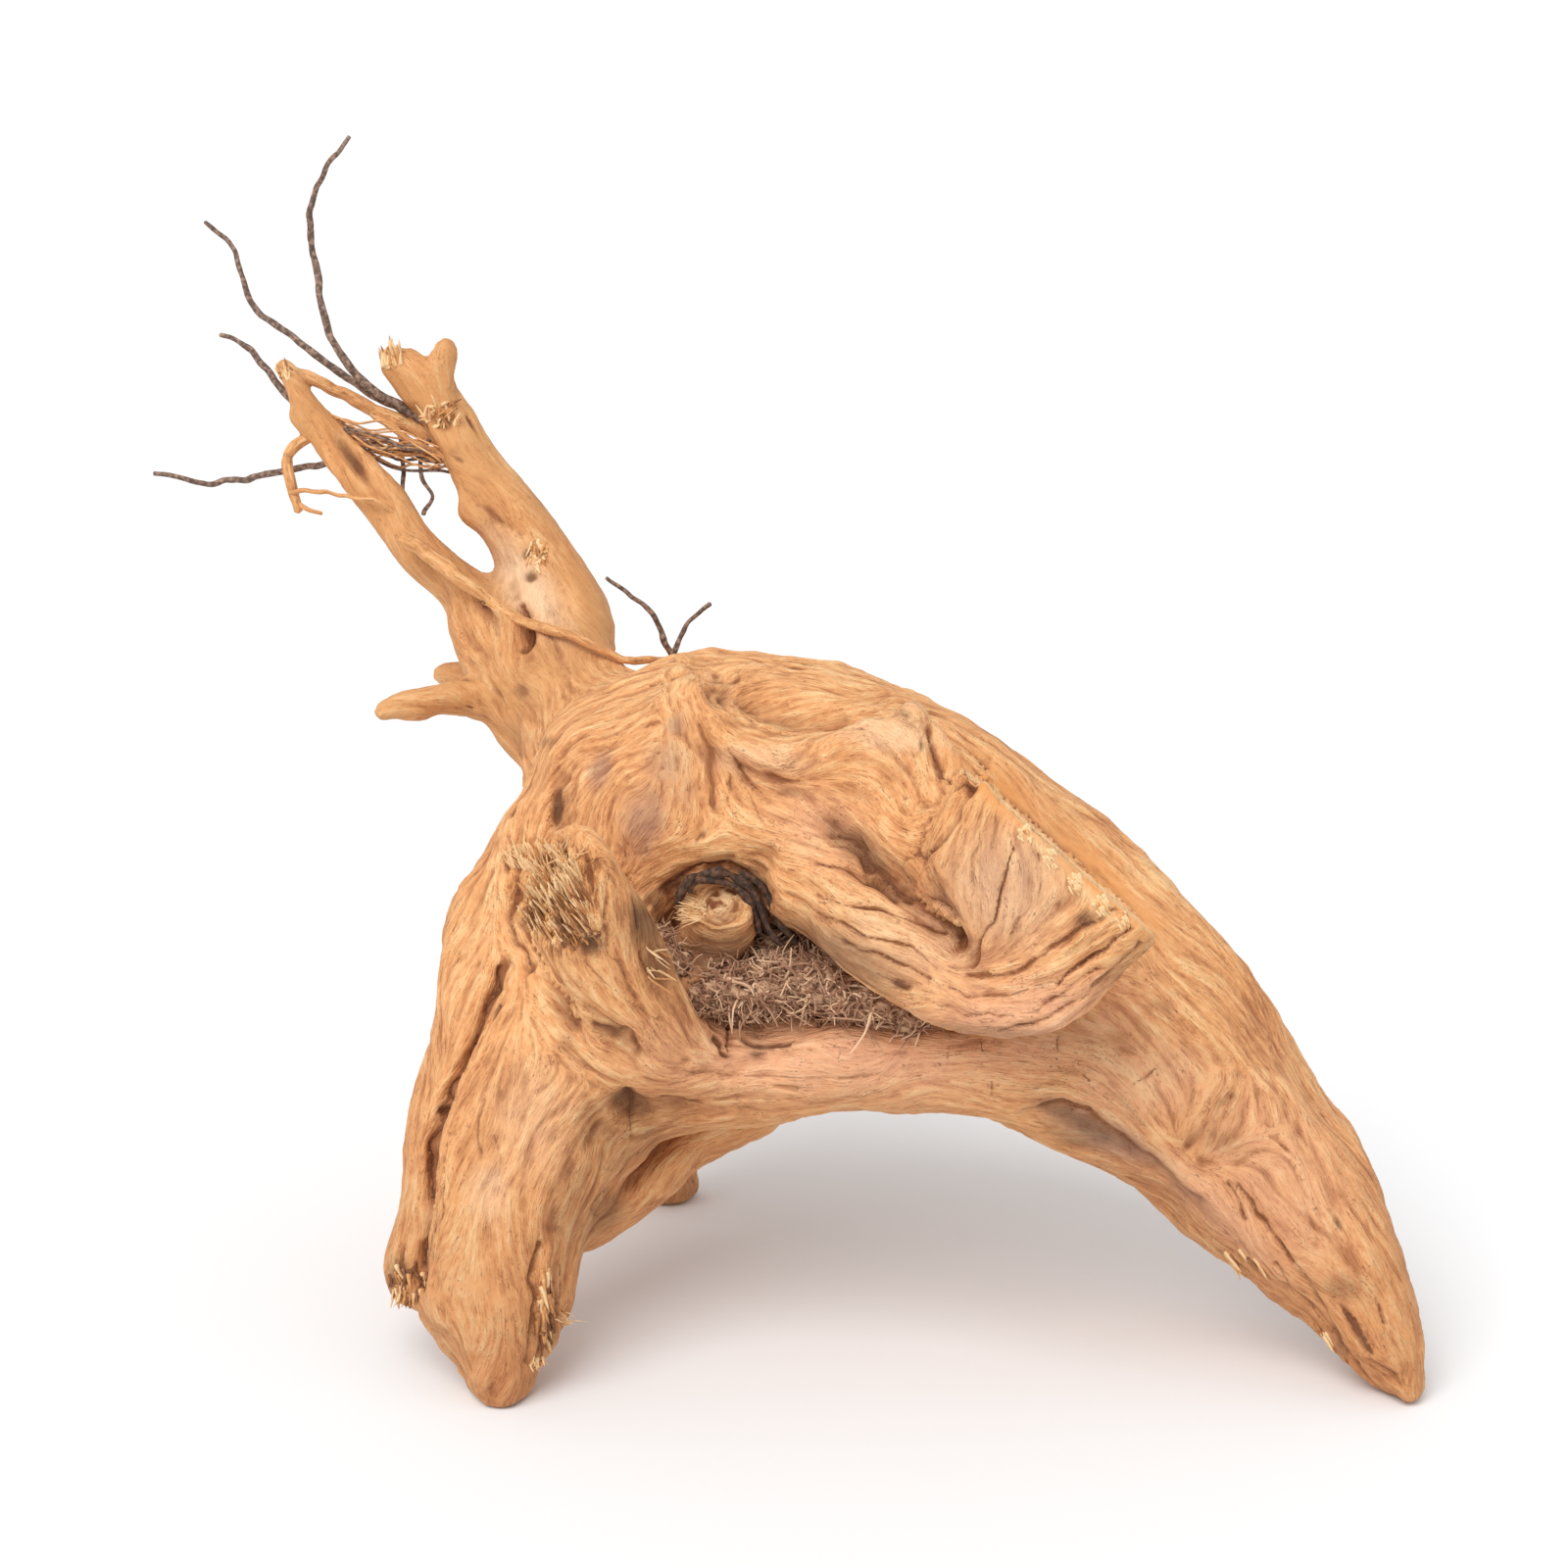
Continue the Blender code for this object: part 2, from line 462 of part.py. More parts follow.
def wood_field():
    """The field of the whole wood, limb by limb."""
    field = Field(FIELD_LOW, FIELD_HIGH, VOXEL_MM)
    for name, (blend, nodes) in LIMBS.items():
        field.add(nodes, blend, CUTS.get(name))
    for blend, nodes in HOLLOWS.values():
        field.carve(nodes, blend)
    for name, (blend, nodes) in LATE_LIMBS.items():
        field.add(nodes, blend, CUTS.get(name))
    return field


def make_wood():
    """The driftwood: body, saw cuts, flat feet, then roots and splinters."""
    wood = new_object("driftwood", *wood_field().surface())
    keep_largest(wood)
    thin_out(wood, BODY_TRIANGLES)
    combine(wood, [saw_disc(name, *disc) for name, disc in SAW_DISCS.items()], "DIFFERENCE")
    wear_feet_flat(wood)
    roots = [tube(name, nodes, 5) for name, nodes in THIN_ROOTS.items()]
    combine(wood, roots + strands() + splinters(), "UNION")
    keep_largest(wood)
    return wood


def make_soil(wood):
    """The dried soil: lumps in the pocket, cut back from the wood by the seat gap."""
    field = Field(SOIL_LOW, SOIL_HIGH, SOIL_VOXEL_MM)
    for nodes in SOIL_LUMPS:
        field.add(nodes, 5)
    axes = [field.low[i] + field.step * np.arange(field.shape[i]) for i in range(3)]
    x, y, z = np.meshgrid(*axes, indexing="ij")
    field.values += SOIL_GRAIN_MM * (np.sin(x * 0.9 + z * 0.5) * np.sin(y * 0.8 - z * 0.6) + 0.5 * np.sin(x * 1.7 - y * 1.3))
    soil = new_object("soil_mat", *field.surface())
    thin_out(soil, SOIL_TRIANGLES)
    cutters = []
    for gap in (SEAT_GAP_MM, SEAT_GAP_MM / 2):
        cutter = bpy.data.objects.new("seat", wood.data.copy())
        bpy.context.scene.collection.objects.link(cutter)
        swell = cutter.modifiers.new("swell", "DISPLACE")
        swell.strength = gap * MM
        swell.mid_level = 0
        apply_modifiers(cutter)
        cutters.append(cutter)
    plain = bpy.data.objects.new("seat", wood.data.copy())
    bpy.context.scene.collection.objects.link(plain)
    for cutter in [*cutters, plain]:
        combine(soil, [cutter], "DIFFERENCE")
    keep_largest(soil)
    return soil


def centre_on_origin(objects):
    """Moves every mesh so that the middle of the bounds is over the origin and the feet are at Z = 0."""
    points = np.array([v.co for obj in objects for v in obj.data.vertices])
    low = points.min(0)
    high = points.max(0)
    shift = Vector(((low[0] + high[0]) / -2, (low[1] + high[1]) / -2, -low[2]))
    for obj in objects:
        for vertex in obj.data.vertices:
            vertex.co += shift
    return shift


def paint(obj, name, colour, roughness):
    """Gives an object a material of its own."""
    material = bpy.data.materials.new(name)
    material.use_nodes = True
    shader = material.node_tree.nodes["Principled BSDF"]
    shader.inputs["Base Color"].default_value = colour
    shader.inputs["Roughness"].default_value = roughness
    shader.inputs["Metallic"].default_value = 0.0
    obj.data.materials.clear()
    obj.data.materials.append(material)


def main():
    for obj in list(bpy.data.objects):
        bpy.data.objects.remove(obj)
    wood = make_wood()
    soil = make_soil(wood)
    shift = centre_on_origin([wood, soil])
    paint(wood, "wood", WOOD_COLOUR, 0.8)
    paint(soil, "soil", SOIL_COLOUR, 0.95)
    return shift


main()
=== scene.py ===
"""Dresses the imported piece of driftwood: weathered wood, torn fibres, thin roots, dried soil, and the studio.

The wood is one skin worked out from the CAD node: its facets are smoothed away, then ridges, checks and
cracks are raised and cut along a field of grain that follows the limbs and swirls round the knots.
Lengths are millimetres in the row's frame until a mesh is made; routes of limbs and roots are written in the
frame of the part's source, whose origin lies under the crown.
"""

import logging
import math
from dataclasses import dataclass, field
from enum import Enum

import bpy
import numpy as np
import openvdb
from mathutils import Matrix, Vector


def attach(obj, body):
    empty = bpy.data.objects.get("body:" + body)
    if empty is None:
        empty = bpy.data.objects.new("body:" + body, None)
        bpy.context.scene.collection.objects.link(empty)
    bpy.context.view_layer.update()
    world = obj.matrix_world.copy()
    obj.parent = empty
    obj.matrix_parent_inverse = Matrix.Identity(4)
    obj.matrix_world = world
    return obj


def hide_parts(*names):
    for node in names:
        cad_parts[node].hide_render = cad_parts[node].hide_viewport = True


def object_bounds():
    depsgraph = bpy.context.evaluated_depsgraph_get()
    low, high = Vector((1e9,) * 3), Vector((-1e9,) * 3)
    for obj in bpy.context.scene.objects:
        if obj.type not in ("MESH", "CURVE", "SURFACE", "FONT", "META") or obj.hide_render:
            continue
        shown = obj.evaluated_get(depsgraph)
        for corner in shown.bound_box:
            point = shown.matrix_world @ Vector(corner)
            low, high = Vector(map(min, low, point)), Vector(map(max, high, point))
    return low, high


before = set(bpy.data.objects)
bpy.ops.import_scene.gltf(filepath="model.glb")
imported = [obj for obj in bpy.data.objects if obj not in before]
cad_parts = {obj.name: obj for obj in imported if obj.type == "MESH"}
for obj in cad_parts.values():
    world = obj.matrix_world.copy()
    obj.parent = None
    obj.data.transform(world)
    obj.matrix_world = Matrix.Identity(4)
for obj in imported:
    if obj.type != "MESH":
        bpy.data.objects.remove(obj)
CAD_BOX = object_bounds()

Array = np.ndarray
Socket = bpy.types.NodeSocket
Route = list[tuple[float, ...]]
MM = 0.001
ROOT = "root"
SOURCE_TO_ROW = np.array((11.561, -33.238, -1.0))
WOBBLE_MM = 2.2
WOBBLE_WAVES_MM = (83.0, 61.0, 47.0)
LATTICE = 32
HALF_BAND = 3.0
GUIDE_PIXELS = 55

log = logging.getLogger("driftwood")


# Routes of the limbs that the grain follows: radius, then points
GRAIN_LINES: dict[str, tuple[float, Route]] = {
    "crown": (34, [(-66, 5, 152), (-31, 15, 178), (28, 12, 169), (60, 8, 151), (89, 0, 128),
        (115, -10, 104), (136, -25, 79), (155, -45, 54), (171, -62, 33), (191, -83, 3)]),
    "front_leg": (31, [(-50, -5, 149), (-67, -15, 126), (-77, -30, 98), (-82, -45, 75), (-89, -68, 35),
        (-85, -82, 6)]),
    "beam": (25, [(-61, -35, 90), (-31, -35, 92), (31, -38, 97), (61, -36, 94), (111, -34, 77),
        (132, -38, 60)]),
    "pocket_wall": (24, [(-44, 15, 126), (25, 12, 114), (57, 5, 119)]),
    "rear_leg": (19, [(-59, 45, 107), (-52, 58, 71), (-45, 70, 38), (-39, 83, 3)]),
    "back_buttress": (15, [(-54, 42, 158), (-62, 56, 128), (-58, 64, 92), (-49, 72, 54)]),
    "right_flange": (15, [(75, 12, 80), (101, 8, 67), (126, -6, 55), (148, -26, 38), (165, -48, 20)]),
    "neck": (24, [(-48, 30, 155), (-62, 52, 171), (-74, 72, 183), (-83, 94, 203)]),
    "right_arm": (11, [(-71, 94, 201), (-97, 117, 239), (-117, 132, 267), (-135, 139, 288)]),
    "left_arm": (8, [(-100, 94, 200), (-126, 112, 225), (-159, 132, 261), (-175, 146, 285)]),
    "back_ridge": (9, [(-44, 50, 176), (-10, 55, 178), (25, 50, 168), (90, 33, 124), (142, -2, 70)]),
    "back_ridge_low": (10, [(-36, 38, 112), (4, 40, 102), (74, 26, 96)]),
    "back_spur": (7, [(6, 44, 150), (16, 62, 158), (21, 76, 163)]),
    "fan": (24, [(60, -68, 128), (66, -75, 150), (76, -81, 168), (86, -86, 188)]),
    "elbow": (16, [(0, -36, 160), (16, -48, 151), (31, -61, 141), (47, -71, 134), (63, -78, 131),
        (78, -84, 136), (92, -88, 148), (103, -90, 161)]),
    "face": (22, [(-34, -18, 176), (-9, -26, 170), (15, -34, 160), (32, -46, 148)]),
    "broken_stump": (15, [(-36, -54, 99), (-45, -62, 119), (-52, -71, 139), (-62, -81, 170)]),
    "forehead": (20, [(-45, -14, 150), (-36, -18, 172), (-21, -14, 190)]),
    "brow": (9, [(-34, -16, 200), (-20, -25, 198), (0, -30, 190), (21, -32, 189), (37, -34, 194),
        (55, -54, 178)]),
    "toe": (14, [(-79, -5, 153), (-97, -22, 115), (-108, -45, 71), (-111, -52, 48), (-117, -60, 26)]),
    "flange": (12, [(-62, -45, 42), (-49, -30, 49), (-12, -5, 70)]),
    "horn": (6, [(-96, 78, 186), (-113, 72, 184), (-133, 62, 180)]),
    "dark_stub": (6, [(-100, 100, 184), (-119, 118, 180)]),
    "arm_stub": (5, [(-122, 134, 276), (-118, 137, 293)]),
    "round_stub": (12, [(-27, -22, 113), (-24, -36, 130), (-17, -59, 164)]),
}

# Knots that the grain swirls round: centre, axis, radius
KNOTS: list[tuple[tuple[float, ...], tuple[float, ...], float]] = [
    ((-20, -50, 150), (0.05, -0.45, 0.89), 13),
    ((-14, -40, 196), (0, -0.6, 0.8), 9),
    ((-76, 78, 216), (0.2, -1, 0.1), 7),
    ((-105, 118, 258), (0.2, -1, 0.1), 6),
    ((84, 46, 140), (0.3, 1, 0.2), 11),
    ((-20, 60, 150), (0, 1, 0.1), 12),
    ((-40, -72, 60), (0.3, -1, 0), 9),
]

# Twigs of sound wood, and fine dark roots: x, y, z, radius
TWIGS: dict[str, Route] = {
    "stick": [(-174, 146, 284, 2.3), (-154, 144, 277, 2.4), (-137, 141, 268, 2.6), (-119, 136, 260, 3.2)],
    "loop_twig": [(-158, 134, 260, 2.6), (-165, 136, 263, 2.2), (-172, 132, 256, 2.0),
        (-171, 130, 244, 1.9), (-170, 129, 236, 1.5)],
    "crossing_twig": [(-127, 98, 232, 2.6), (-118, 92, 229, 2.6), (-109, 88, 224, 2.4),
        (-98, 85, 217, 2.1), (-91, 78, 212, 1.9), (-82, 68, 208, 1.8), (-73, 60, 206, 1.7),
        (-64, 55, 204, 1.5), (-54, 57, 200, 1.4), (-45, 64, 198, 1.3), (-38, 69, 197, 1.2),
        (-21, 72, 198, 0.9)],
    "thick_strand": [(-146, 142, 272, 1.2), (-133, 136, 261, 1.4), (-124, 130, 257, 1.5),
        (-108, 122, 250, 1.6)],
    "side_fibre": [(-171, 129, 243, 0.9), (-161, 124, 244, 0.8), (-151, 116, 244, 0.7),
        (-140, 110, 243, 0.8), (-134, 112, 238, 0.9)],
    "end_fibre": [(-170, 129, 239, 0.9), (-166, 128, 237, 0.8), (-161, 127, 236, 0.7)],
}
DARK_ROOTS: dict[str, Route] = {
    "twig_tip_left": [(-38, 70, 196, 1.1), (-40, 68, 203, 1.0), (-43, 66, 212, 0.9), (-49, 64, 220, 0.8),
        (-58, 62, 227, 0.7)],
    "twig_tip_right": [(-39, 69, 196, 1.0), (-33, 67, 207, 0.8), (-24, 64, 216, 0.7)],
    "top_root": [(-124, 136, 266, 1.5), (-142, 142, 278, 1.5), (-153, 147, 289, 1.4),
        (-160, 150, 303, 1.3), (-164, 152, 322, 1.2), (-162, 150, 341, 1.1), (-157, 146, 357, 0.9),
        (-149, 142, 366, 0.7)],
    "upper_root": [(-126, 138, 266, 1.4), (-147, 150, 278, 1.4), (-164, 158, 288, 1.3),
        (-178, 163, 297, 1.2), (-185, 166, 303, 1.1), (-189, 168, 313, 1.0), (-194, 168, 324, 0.9),
        (-203, 166, 332, 0.7)],
    "middle_root": [(-167, 140, 270, 1.5), (-176, 146, 276, 1.4), (-183, 150, 286, 1.2),
        (-188, 152, 293, 1.1), (-197, 152, 297, 0.8)],
    "left_root": [(-152, 130, 256, 1.4), (-164, 138, 252, 1.2), (-176, 140, 249, 1.2),
        (-192, 140, 248, 1.1), (-205, 138, 246, 1.0), (-221, 134, 249, 0.8)],
    "hanging_root": [(-137, 141, 269, 0.9), (-136, 140, 262, 0.8), (-135, 138, 251, 0.8),
        (-134, 134, 240, 0.7)],
    "looped_root": [(-122, 131, 262, 0.9), (-128, 133, 255, 0.8), (-128, 133, 247, 0.8),
        (-124, 130, 241, 0.7), (-126, 122, 235, 0.8)],
}
# Near-black tubes laid in the crevice round the dead stub, as painted shade
STUB_SHADE_RINGS: dict[str, Route] = {
    "outer": [(-35, -48, 147, 0.9), (-33, -48, 152, 1.4), (-29, -48, 156, 1.2), (-23, -48, 157.5, 1.5),
        (-16, -48, 157, 1.2), (-11, -48, 154, 1.6), (-8, -48, 148, 1.3), (-6, -48, 141, 1.2),
        (-2, -47, 135, 0.8)],
    "inner": [(-31, -49, 151, 0.7), (-28, -49, 154, 1.0), (-22, -49, 155.5, 1.1), (-16, -49, 154.5, 0.9),
        (-12, -49, 151, 1.2), (-10, -49, 146, 1.1), (-9, -49, 140, 0.8)],
    "far": [(-14, -47, 159, 0.6), (-8, -47, 156, 1.2), (-4, -47, 150, 1.0), (-2, -47, 142, 1.2),
        (2, -46, 136, 0.7)],
}


def hex_to_linear(code: str) -> tuple[float, float, float, float]:
    """Turns an sRGB hex colour into linear light.

    Args:
        code: Six hex digits, such as "C98F5C".

    Returns:
        Red, green, blue and an alpha of 1.
    """
    shares = [int(code[i:i + 2], 16) / 255 for i in (0, 2, 4)]
    linear = [s / 12.92 if s <= 0.04045 else ((s + 0.055) / 1.055) ** 2.4 for s in shares]
    return (*linear, 1.0)


def add_node(tree: bpy.types.NodeTree, kind: str, *values: object, out: int | str = 0,
             inputs: dict | None = None, stops: tuple = (), **settings: object) -> Socket:
    """Adds a node with its settings, values and links.

    Args:
        tree: The tree it goes into.
        kind: Blender's name of the node's type, without its "ShaderNode".
        values: Its first inputs in order, each a value, or an output to link to it.
        out: Number or name of the output that is wanted.
        inputs: More inputs by name or number.
        stops: Places and sRGB colours of a Color Ramp.
        settings: Properties to set.

    Returns:
        The wanted output.
    """
    made = tree.nodes.new("ShaderNode" + kind)
    for name, value in settings.items():
        setattr(made, name, value)
    if stops:
        elements = made.color_ramp.elements
        while len(elements) < len(stops):
            elements.new(0.5)
        for element, (place, code) in zip(elements, stops):
            element.position = place
            element.color = hex_to_linear(code)
    for name, value in {**dict(enumerate(values)), **(inputs or {})}.items():
        socket = made.inputs[name]
        if isinstance(value, Socket):
            tree.links.new(value, socket)
        else:
            socket.default_value = value
    return made.outputs[out]


def new_material(name: str, roughness: float) -> bpy.types.Material:
    """Starts a material.

    Args:
        name: What it is.
        roughness: From 0, polished, to 1, matte.

    Returns:
        The material, which is white as yet.
    """
    material = bpy.data.materials.new(name)
    material.use_nodes = True
    material.node_tree.nodes["Principled BSDF"].inputs["Roughness"].default_value = roughness
    return material


def paint(material: bpy.types.Material, colour: Socket, height: Socket | None = None,
          relief_mm: float = 0.0) -> bpy.types.Material:
    """Gives a material its colour and, where there is a height, its relief.

    Args:
        material: The material.
        colour: An output of its tree.
        height: Another output, for the relief.
        relief_mm: How high the relief is at a height of 1.

    Returns:
        The same material.
    """
    tree = material.node_tree
    shader = tree.nodes["Principled BSDF"]
    tree.links.new(colour, shader.inputs["Base Color"])
    if height is not None:
        inputs = {"Height": height, "Distance": relief_mm * MM}
        tree.links.new(add_node(tree, "Bump", out="Normal", inputs=inputs), shader.inputs["Normal"])
    return material


def unit(vectors: Array) -> Array:
    """Scales vectors along the last axis to a length of 1."""
    return vectors / np.maximum(np.linalg.norm(vectors, axis=-1, keepdims=True), 1e-9)


def soft_noise(points: Array, size_mm: float, seed: int) -> Array:
    """Smooth random values with mean 0: normal values on a cubic lattice, eased between its eight corners.

    Args:
        points: Places, (n, 3).
        size_mm: Side of a lattice cube.
        seed: Which lattice.

    Returns:
        One value a point.
    """
    lattice = np.random.default_rng(seed).normal(size=LATTICE**3).astype(np.float32)
    scaled = np.ascontiguousarray((points / size_mm).T.astype(np.float32))
    cell = np.floor(scaled)
    share = scaled - cell
    share *= share * (3 - 2 * share)
    low = cell.astype(np.int32) & (LATTICE - 1)
    strides = np.array((LATTICE**2, LATTICE, 1), np.int32)[:, None]
    index = (low * strides, ((low + 1) & (LATTICE - 1)) * strides)
    weight = (1 - share, share)
    total = np.zeros(len(points), np.float32)
    for i in (0, 1):
        for j in (0, 1):
            place = index[i][0] + index[j][1]
            part = weight[i][0] * weight[j][1]
            for k in (0, 1):
                total += lattice[place + index[k][2]] * (part * weight[k][2])
    return total


def wobble(points: Array) -> Array:
    """How far slow crossing sine waves move the wood off its smooth routes, as in the part's source.

    Args:
        points: Places, (..., 3).

    Returns:
        Moves in millimetres, of the same shape.
    """
    x, y, z = (points[..., i] for i in range(3))
    long_wave, mid_wave, short_wave = (2 * math.pi / wave for wave in WOBBLE_WAVES_MM)
    return WOBBLE_MM * np.stack([
        np.sin(y * long_wave + 1.3) * 0.6 + np.sin(z * short_wave + x * long_wave) * 0.5,
        np.sin(x * mid_wave + 0.4) * 0.7 + np.sin(z * mid_wave + 2.1) * 0.7,
        np.sin(x * short_wave + 2.6) * 0.4 + np.sin(y * mid_wave - 0.8) * 0.6], -1)


def to_row(points: Array) -> Array:
    """Moves places of the part's source into the row's frame."""
    points = np.asarray(points, float)
    return points - wobble(points) + SOURCE_TO_ROW


def smooth_route(nodes: Array, pieces: int) -> Array:
    """A Catmull-Rom curve: a cubic for each span, which meets its ends along their neighbours' chord.

    Args:
        nodes: Points with any further values, (n, k).
        pieces: Steps between two nodes.

    Returns:
        The curve's points with their values.
    """
    nodes = np.asarray(nodes, float)
    padded = np.vstack([2 * nodes[0] - nodes[1], nodes, 2 * nodes[-1] - nodes[-2]])
    t = np.linspace(0, 1, pieces, endpoint=False)[:, None]
    spans = []
    for before, start, end, after in zip(padded, padded[1:], padded[2:], padded[3:]):
        spans.append(0.5 * (
            2 * start + (end - before) * t + (2 * before - 5 * start + 4 * end - after) * t**2
            + (3 * start - before - 3 * end + after) * t**3))
    return np.vstack([*spans, nodes[-1:]])


def node_triangles(name: str) -> tuple[Array, Array]:
    """Reads a CAD node's mesh.

    Args:
        name: The node's name.

    Returns:
        Its points in millimetres, and its triangles.
    """
    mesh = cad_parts[name].data
    mesh.calc_loop_triangles()
    points = np.empty(len(mesh.vertices) * 3, np.float32)
    mesh.vertices.foreach_get("co", points)
    triangles = np.empty(len(mesh.loop_triangles) * 3, np.int32)
    mesh.loop_triangles.foreach_get("vertices", triangles)
    return points.reshape(-1, 3) / MM, triangles.reshape(-1, 3)


def make_object(name: str, points: Array, faces: Array,
                values: dict[str, Array] | None = None) -> bpy.types.Object:
    """Puts points and faces of one size into a mesh object at the origin.

    Args:
        name: The piece's name.
        points: Millimetres, (n, 3).
        faces: Corner numbers, (m, 3) or (m, 4).
        values: Attributes of the points, (n,) or (n, 3).

    Returns:
        The new object, smooth shaded.
    """
    mesh = bpy.data.meshes.new(name)
    count, sides = faces.shape
    mesh.vertices.add(len(points))
    mesh.vertices.foreach_set("co", (points * MM).astype(np.float32).ravel())
    mesh.loops.add(count * sides)
    mesh.loops.foreach_set("vertex_index", faces.astype(np.int32).ravel())
    mesh.polygons.add(count)
    mesh.polygons.foreach_set("loop_start", np.arange(0, count * sides, sides, dtype=np.int32))
    mesh.update(calc_edges=True)
    mesh.polygons.foreach_set("use_smooth", np.ones(count, bool))
    for key, data in (values or {}).items():
        kind, slot = ("FLOAT", "value") if data.ndim == 1 else ("FLOAT_VECTOR", "vector")
        mesh.attributes.new(key, kind, "POINT").data.foreach_set(slot, data.astype(np.float32).ravel())
    mesh.validate()
    made = bpy.data.objects.new(name, mesh)
    bpy.context.scene.collection.objects.link(made)
    return made


def level_set(points: Array, triangles: Array, voxel_mm: float) -> openvdb.FloatGrid:
    """Measures the distance to a closed surface on a grid near it.

    Args:
        points: The surface's points, (n, 3).
        triangles: Its triangles, (m, 3).
        voxel_mm: The grid's step.

    Returns:
        The grid, which is 0 on the surface and below 0 inside.
    """
    return openvdb.FloatGrid.createLevelSetFromPolygons(
        points.astype(np.float32), triangles=triangles.astype(np.int32),
        transform=openvdb.createLinearTransform(voxelSize=voxel_mm), halfWidth=HALF_BAND)


def point_normals(points: Array, faces: Array) -> Array:
    """Normals of the points: each face's area vector, from its diagonals, summed at its corners.

    Args:
        points: Places, (n, 3).
        faces: Corner numbers, (m, 3) or (m, 4).

    Returns:
        Directions of length 1, (n, 3).
    """
    a, b = points[faces[:, 2]] - points[faces[:, 0]], points[faces[:, -1]] - points[faces[:, 1]]
    area = np.cross(a, b) if faces.shape[1] == 4 else np.cross(points[faces[:, 1]] - points[faces[:, 0]], a)
    total = np.empty((len(points), 3))
    for axis in range(3):
        total[:, axis] = np.bincount(faces.ravel(), np.repeat(area[:, axis], faces.shape[1]), len(points))
    return unit(total)


def relax(points: Array, faces: Array, rounds: int, share: float) -> Array:
    """Smooths a surface: each round moves every point a share of the way to its neighbours' middle.

    Args:
        points: Places, (n, 3).
        faces: Corner numbers, (m, 3) or (m, 4).
        rounds: How often.
        share: How much of the way.

    Returns:
        The moved points.
    """
    edges = np.vstack([faces[:, [i, (i + 1) % faces.shape[1]]] for i in range(faces.shape[1])])
    degree = np.bincount(edges[:, 0], minlength=len(points))[:, None]
    for _ in range(rounds):
        middle = np.empty_like(points)
        for axis in range(3):
            middle[:, axis] = np.bincount(edges[:, 0], points[edges[:, 1], axis], len(points))
        points = points + share * (middle / np.maximum(degree, 1) - points)
    return points


def route_distance(places: Array, route: Array) -> Array:
    """Shortest distance from each place to a broken line, in the plane or in space.

    Args:
        places: Places, (n, 2) or (n, 3).
        route: The line's points, (k, 2) or (k, 3).

    Returns:
        Distances, (n,).
    """
    nearest = np.full(len(places), 1e9)
    for start, end in zip(route, route[1:]):
        along = end - start
        share = np.clip((places - start) @ along / (along @ along), 0, 1)
        nearest = np.minimum(nearest, np.linalg.norm(places - start - share[:, None] * along, axis=1))
    return nearest


def side_of_route(places: Array, route: Array) -> tuple[Array, Array, Array]:
    """Measures places in the plane against a broken line.

    Args:
        places: Places, (n, 2).
        route: The line's points, (k, 2).

    Returns:
        Distance to the line, distance across its nearest stretch with a sign for the side, and how far the
        place lies past the line's ends.
    """
    nearest = np.full(len(places), 1e9)
    across = np.zeros(len(places))
    beyond = np.zeros(len(places))
    for number, (start, end) in enumerate(zip(route, route[1:])):
        length = np.linalg.norm(end - start)
        along = (end - start) / length
        offset = places - start
        travel = offset @ along
        distance = np.linalg.norm(offset - np.clip(travel, 0, length)[:, None] * along, axis=1)
        closer = distance < nearest
        nearest[closer] = distance[closer]
        across[closer] = (offset[:, 0] * along[1] - offset[:, 1] * along[0])[closer]
        past = np.zeros(len(places))
        if number == 0:
            past = np.maximum(past, -travel)
        if number == len(route) - 2:
            past = np.maximum(past, travel - length)
        beyond[closer] = past[closer]
    return nearest, across, beyond


@dataclass(frozen=True)
class PictureView:
    """The camera at the photograph's viewing angle, and where it sees each place."""

    place_mm: tuple[float, float, float] = (11.561, -1095.738, 456.7)
    tilt_deg: float = 75.0
    lens_mm: float = 79.83
    sensor_mm: float = 36.0
    pixels: int = 1600
    cell: int = 5
    depth_room_mm: float = 10.0
    distance_mm: float = 1100.0
    clip_end_m: float = 100.0

    def project(self, points: Array) -> tuple[Array, Array]:
        """Gives each point's pixel and its depth, by dividing its side and height by its depth.

        Args:
            points: Millimetres, (n, 3).

        Returns:
            Pixels (n, 2), and depths (n,).
        """
        turn = math.radians(self.tilt_deg)
        offset = points - np.array(self.place_mm)
        depth = offset @ np.array((0, math.sin(turn), -math.cos(turn)))
        height = offset @ np.array((0, math.cos(turn), math.sin(turn)))
        reach = self.pixels * self.lens_mm / self.sensor_mm
        half = self.pixels / 2
        return np.stack([half + reach * offset[:, 0] / depth, half - reach * height / depth], 1), depth

    def seen(self, points: Array, normals: Array) -> Array:
        """Whether the camera sees each point, which faces it with nothing much nearer in its cell.

        Args:
            points: Millimetres, (n, 3).
            normals: The surface's normals there, (n, 3).

        Returns:
            True for the points that it sees, (n,).
        """
        pixels, depth = self.project(points)
        cells = (np.clip(pixels, 0, self.pixels - 1) // self.cell).astype(int)
        wide = self.pixels // self.cell
        index = cells[:, 0] * wide + cells[:, 1]
        nearest = np.full(wide * wide, 1e9)
        np.minimum.at(nearest, index, depth)
        facing = ((np.array(self.place_mm) - points) * normals).sum(1) > 0
        return facing & (depth < nearest[index] + self.depth_room_mm)

    def make(self) -> None:
        """Makes the camera."""
        data = bpy.data.cameras.new("camera")
        data.lens = self.lens_mm
        data.sensor_width = self.sensor_mm
        data.clip_end = self.clip_end_m
        camera = bpy.data.objects.new("camera", data)
        camera.location = [v * MM for v in self.place_mm]
        camera.rotation_euler = (math.radians(self.tilt_deg), 0, 0)
        bpy.context.scene.collection.objects.link(camera)
        bpy.context.scene.camera = camera


VIEW = PictureView()


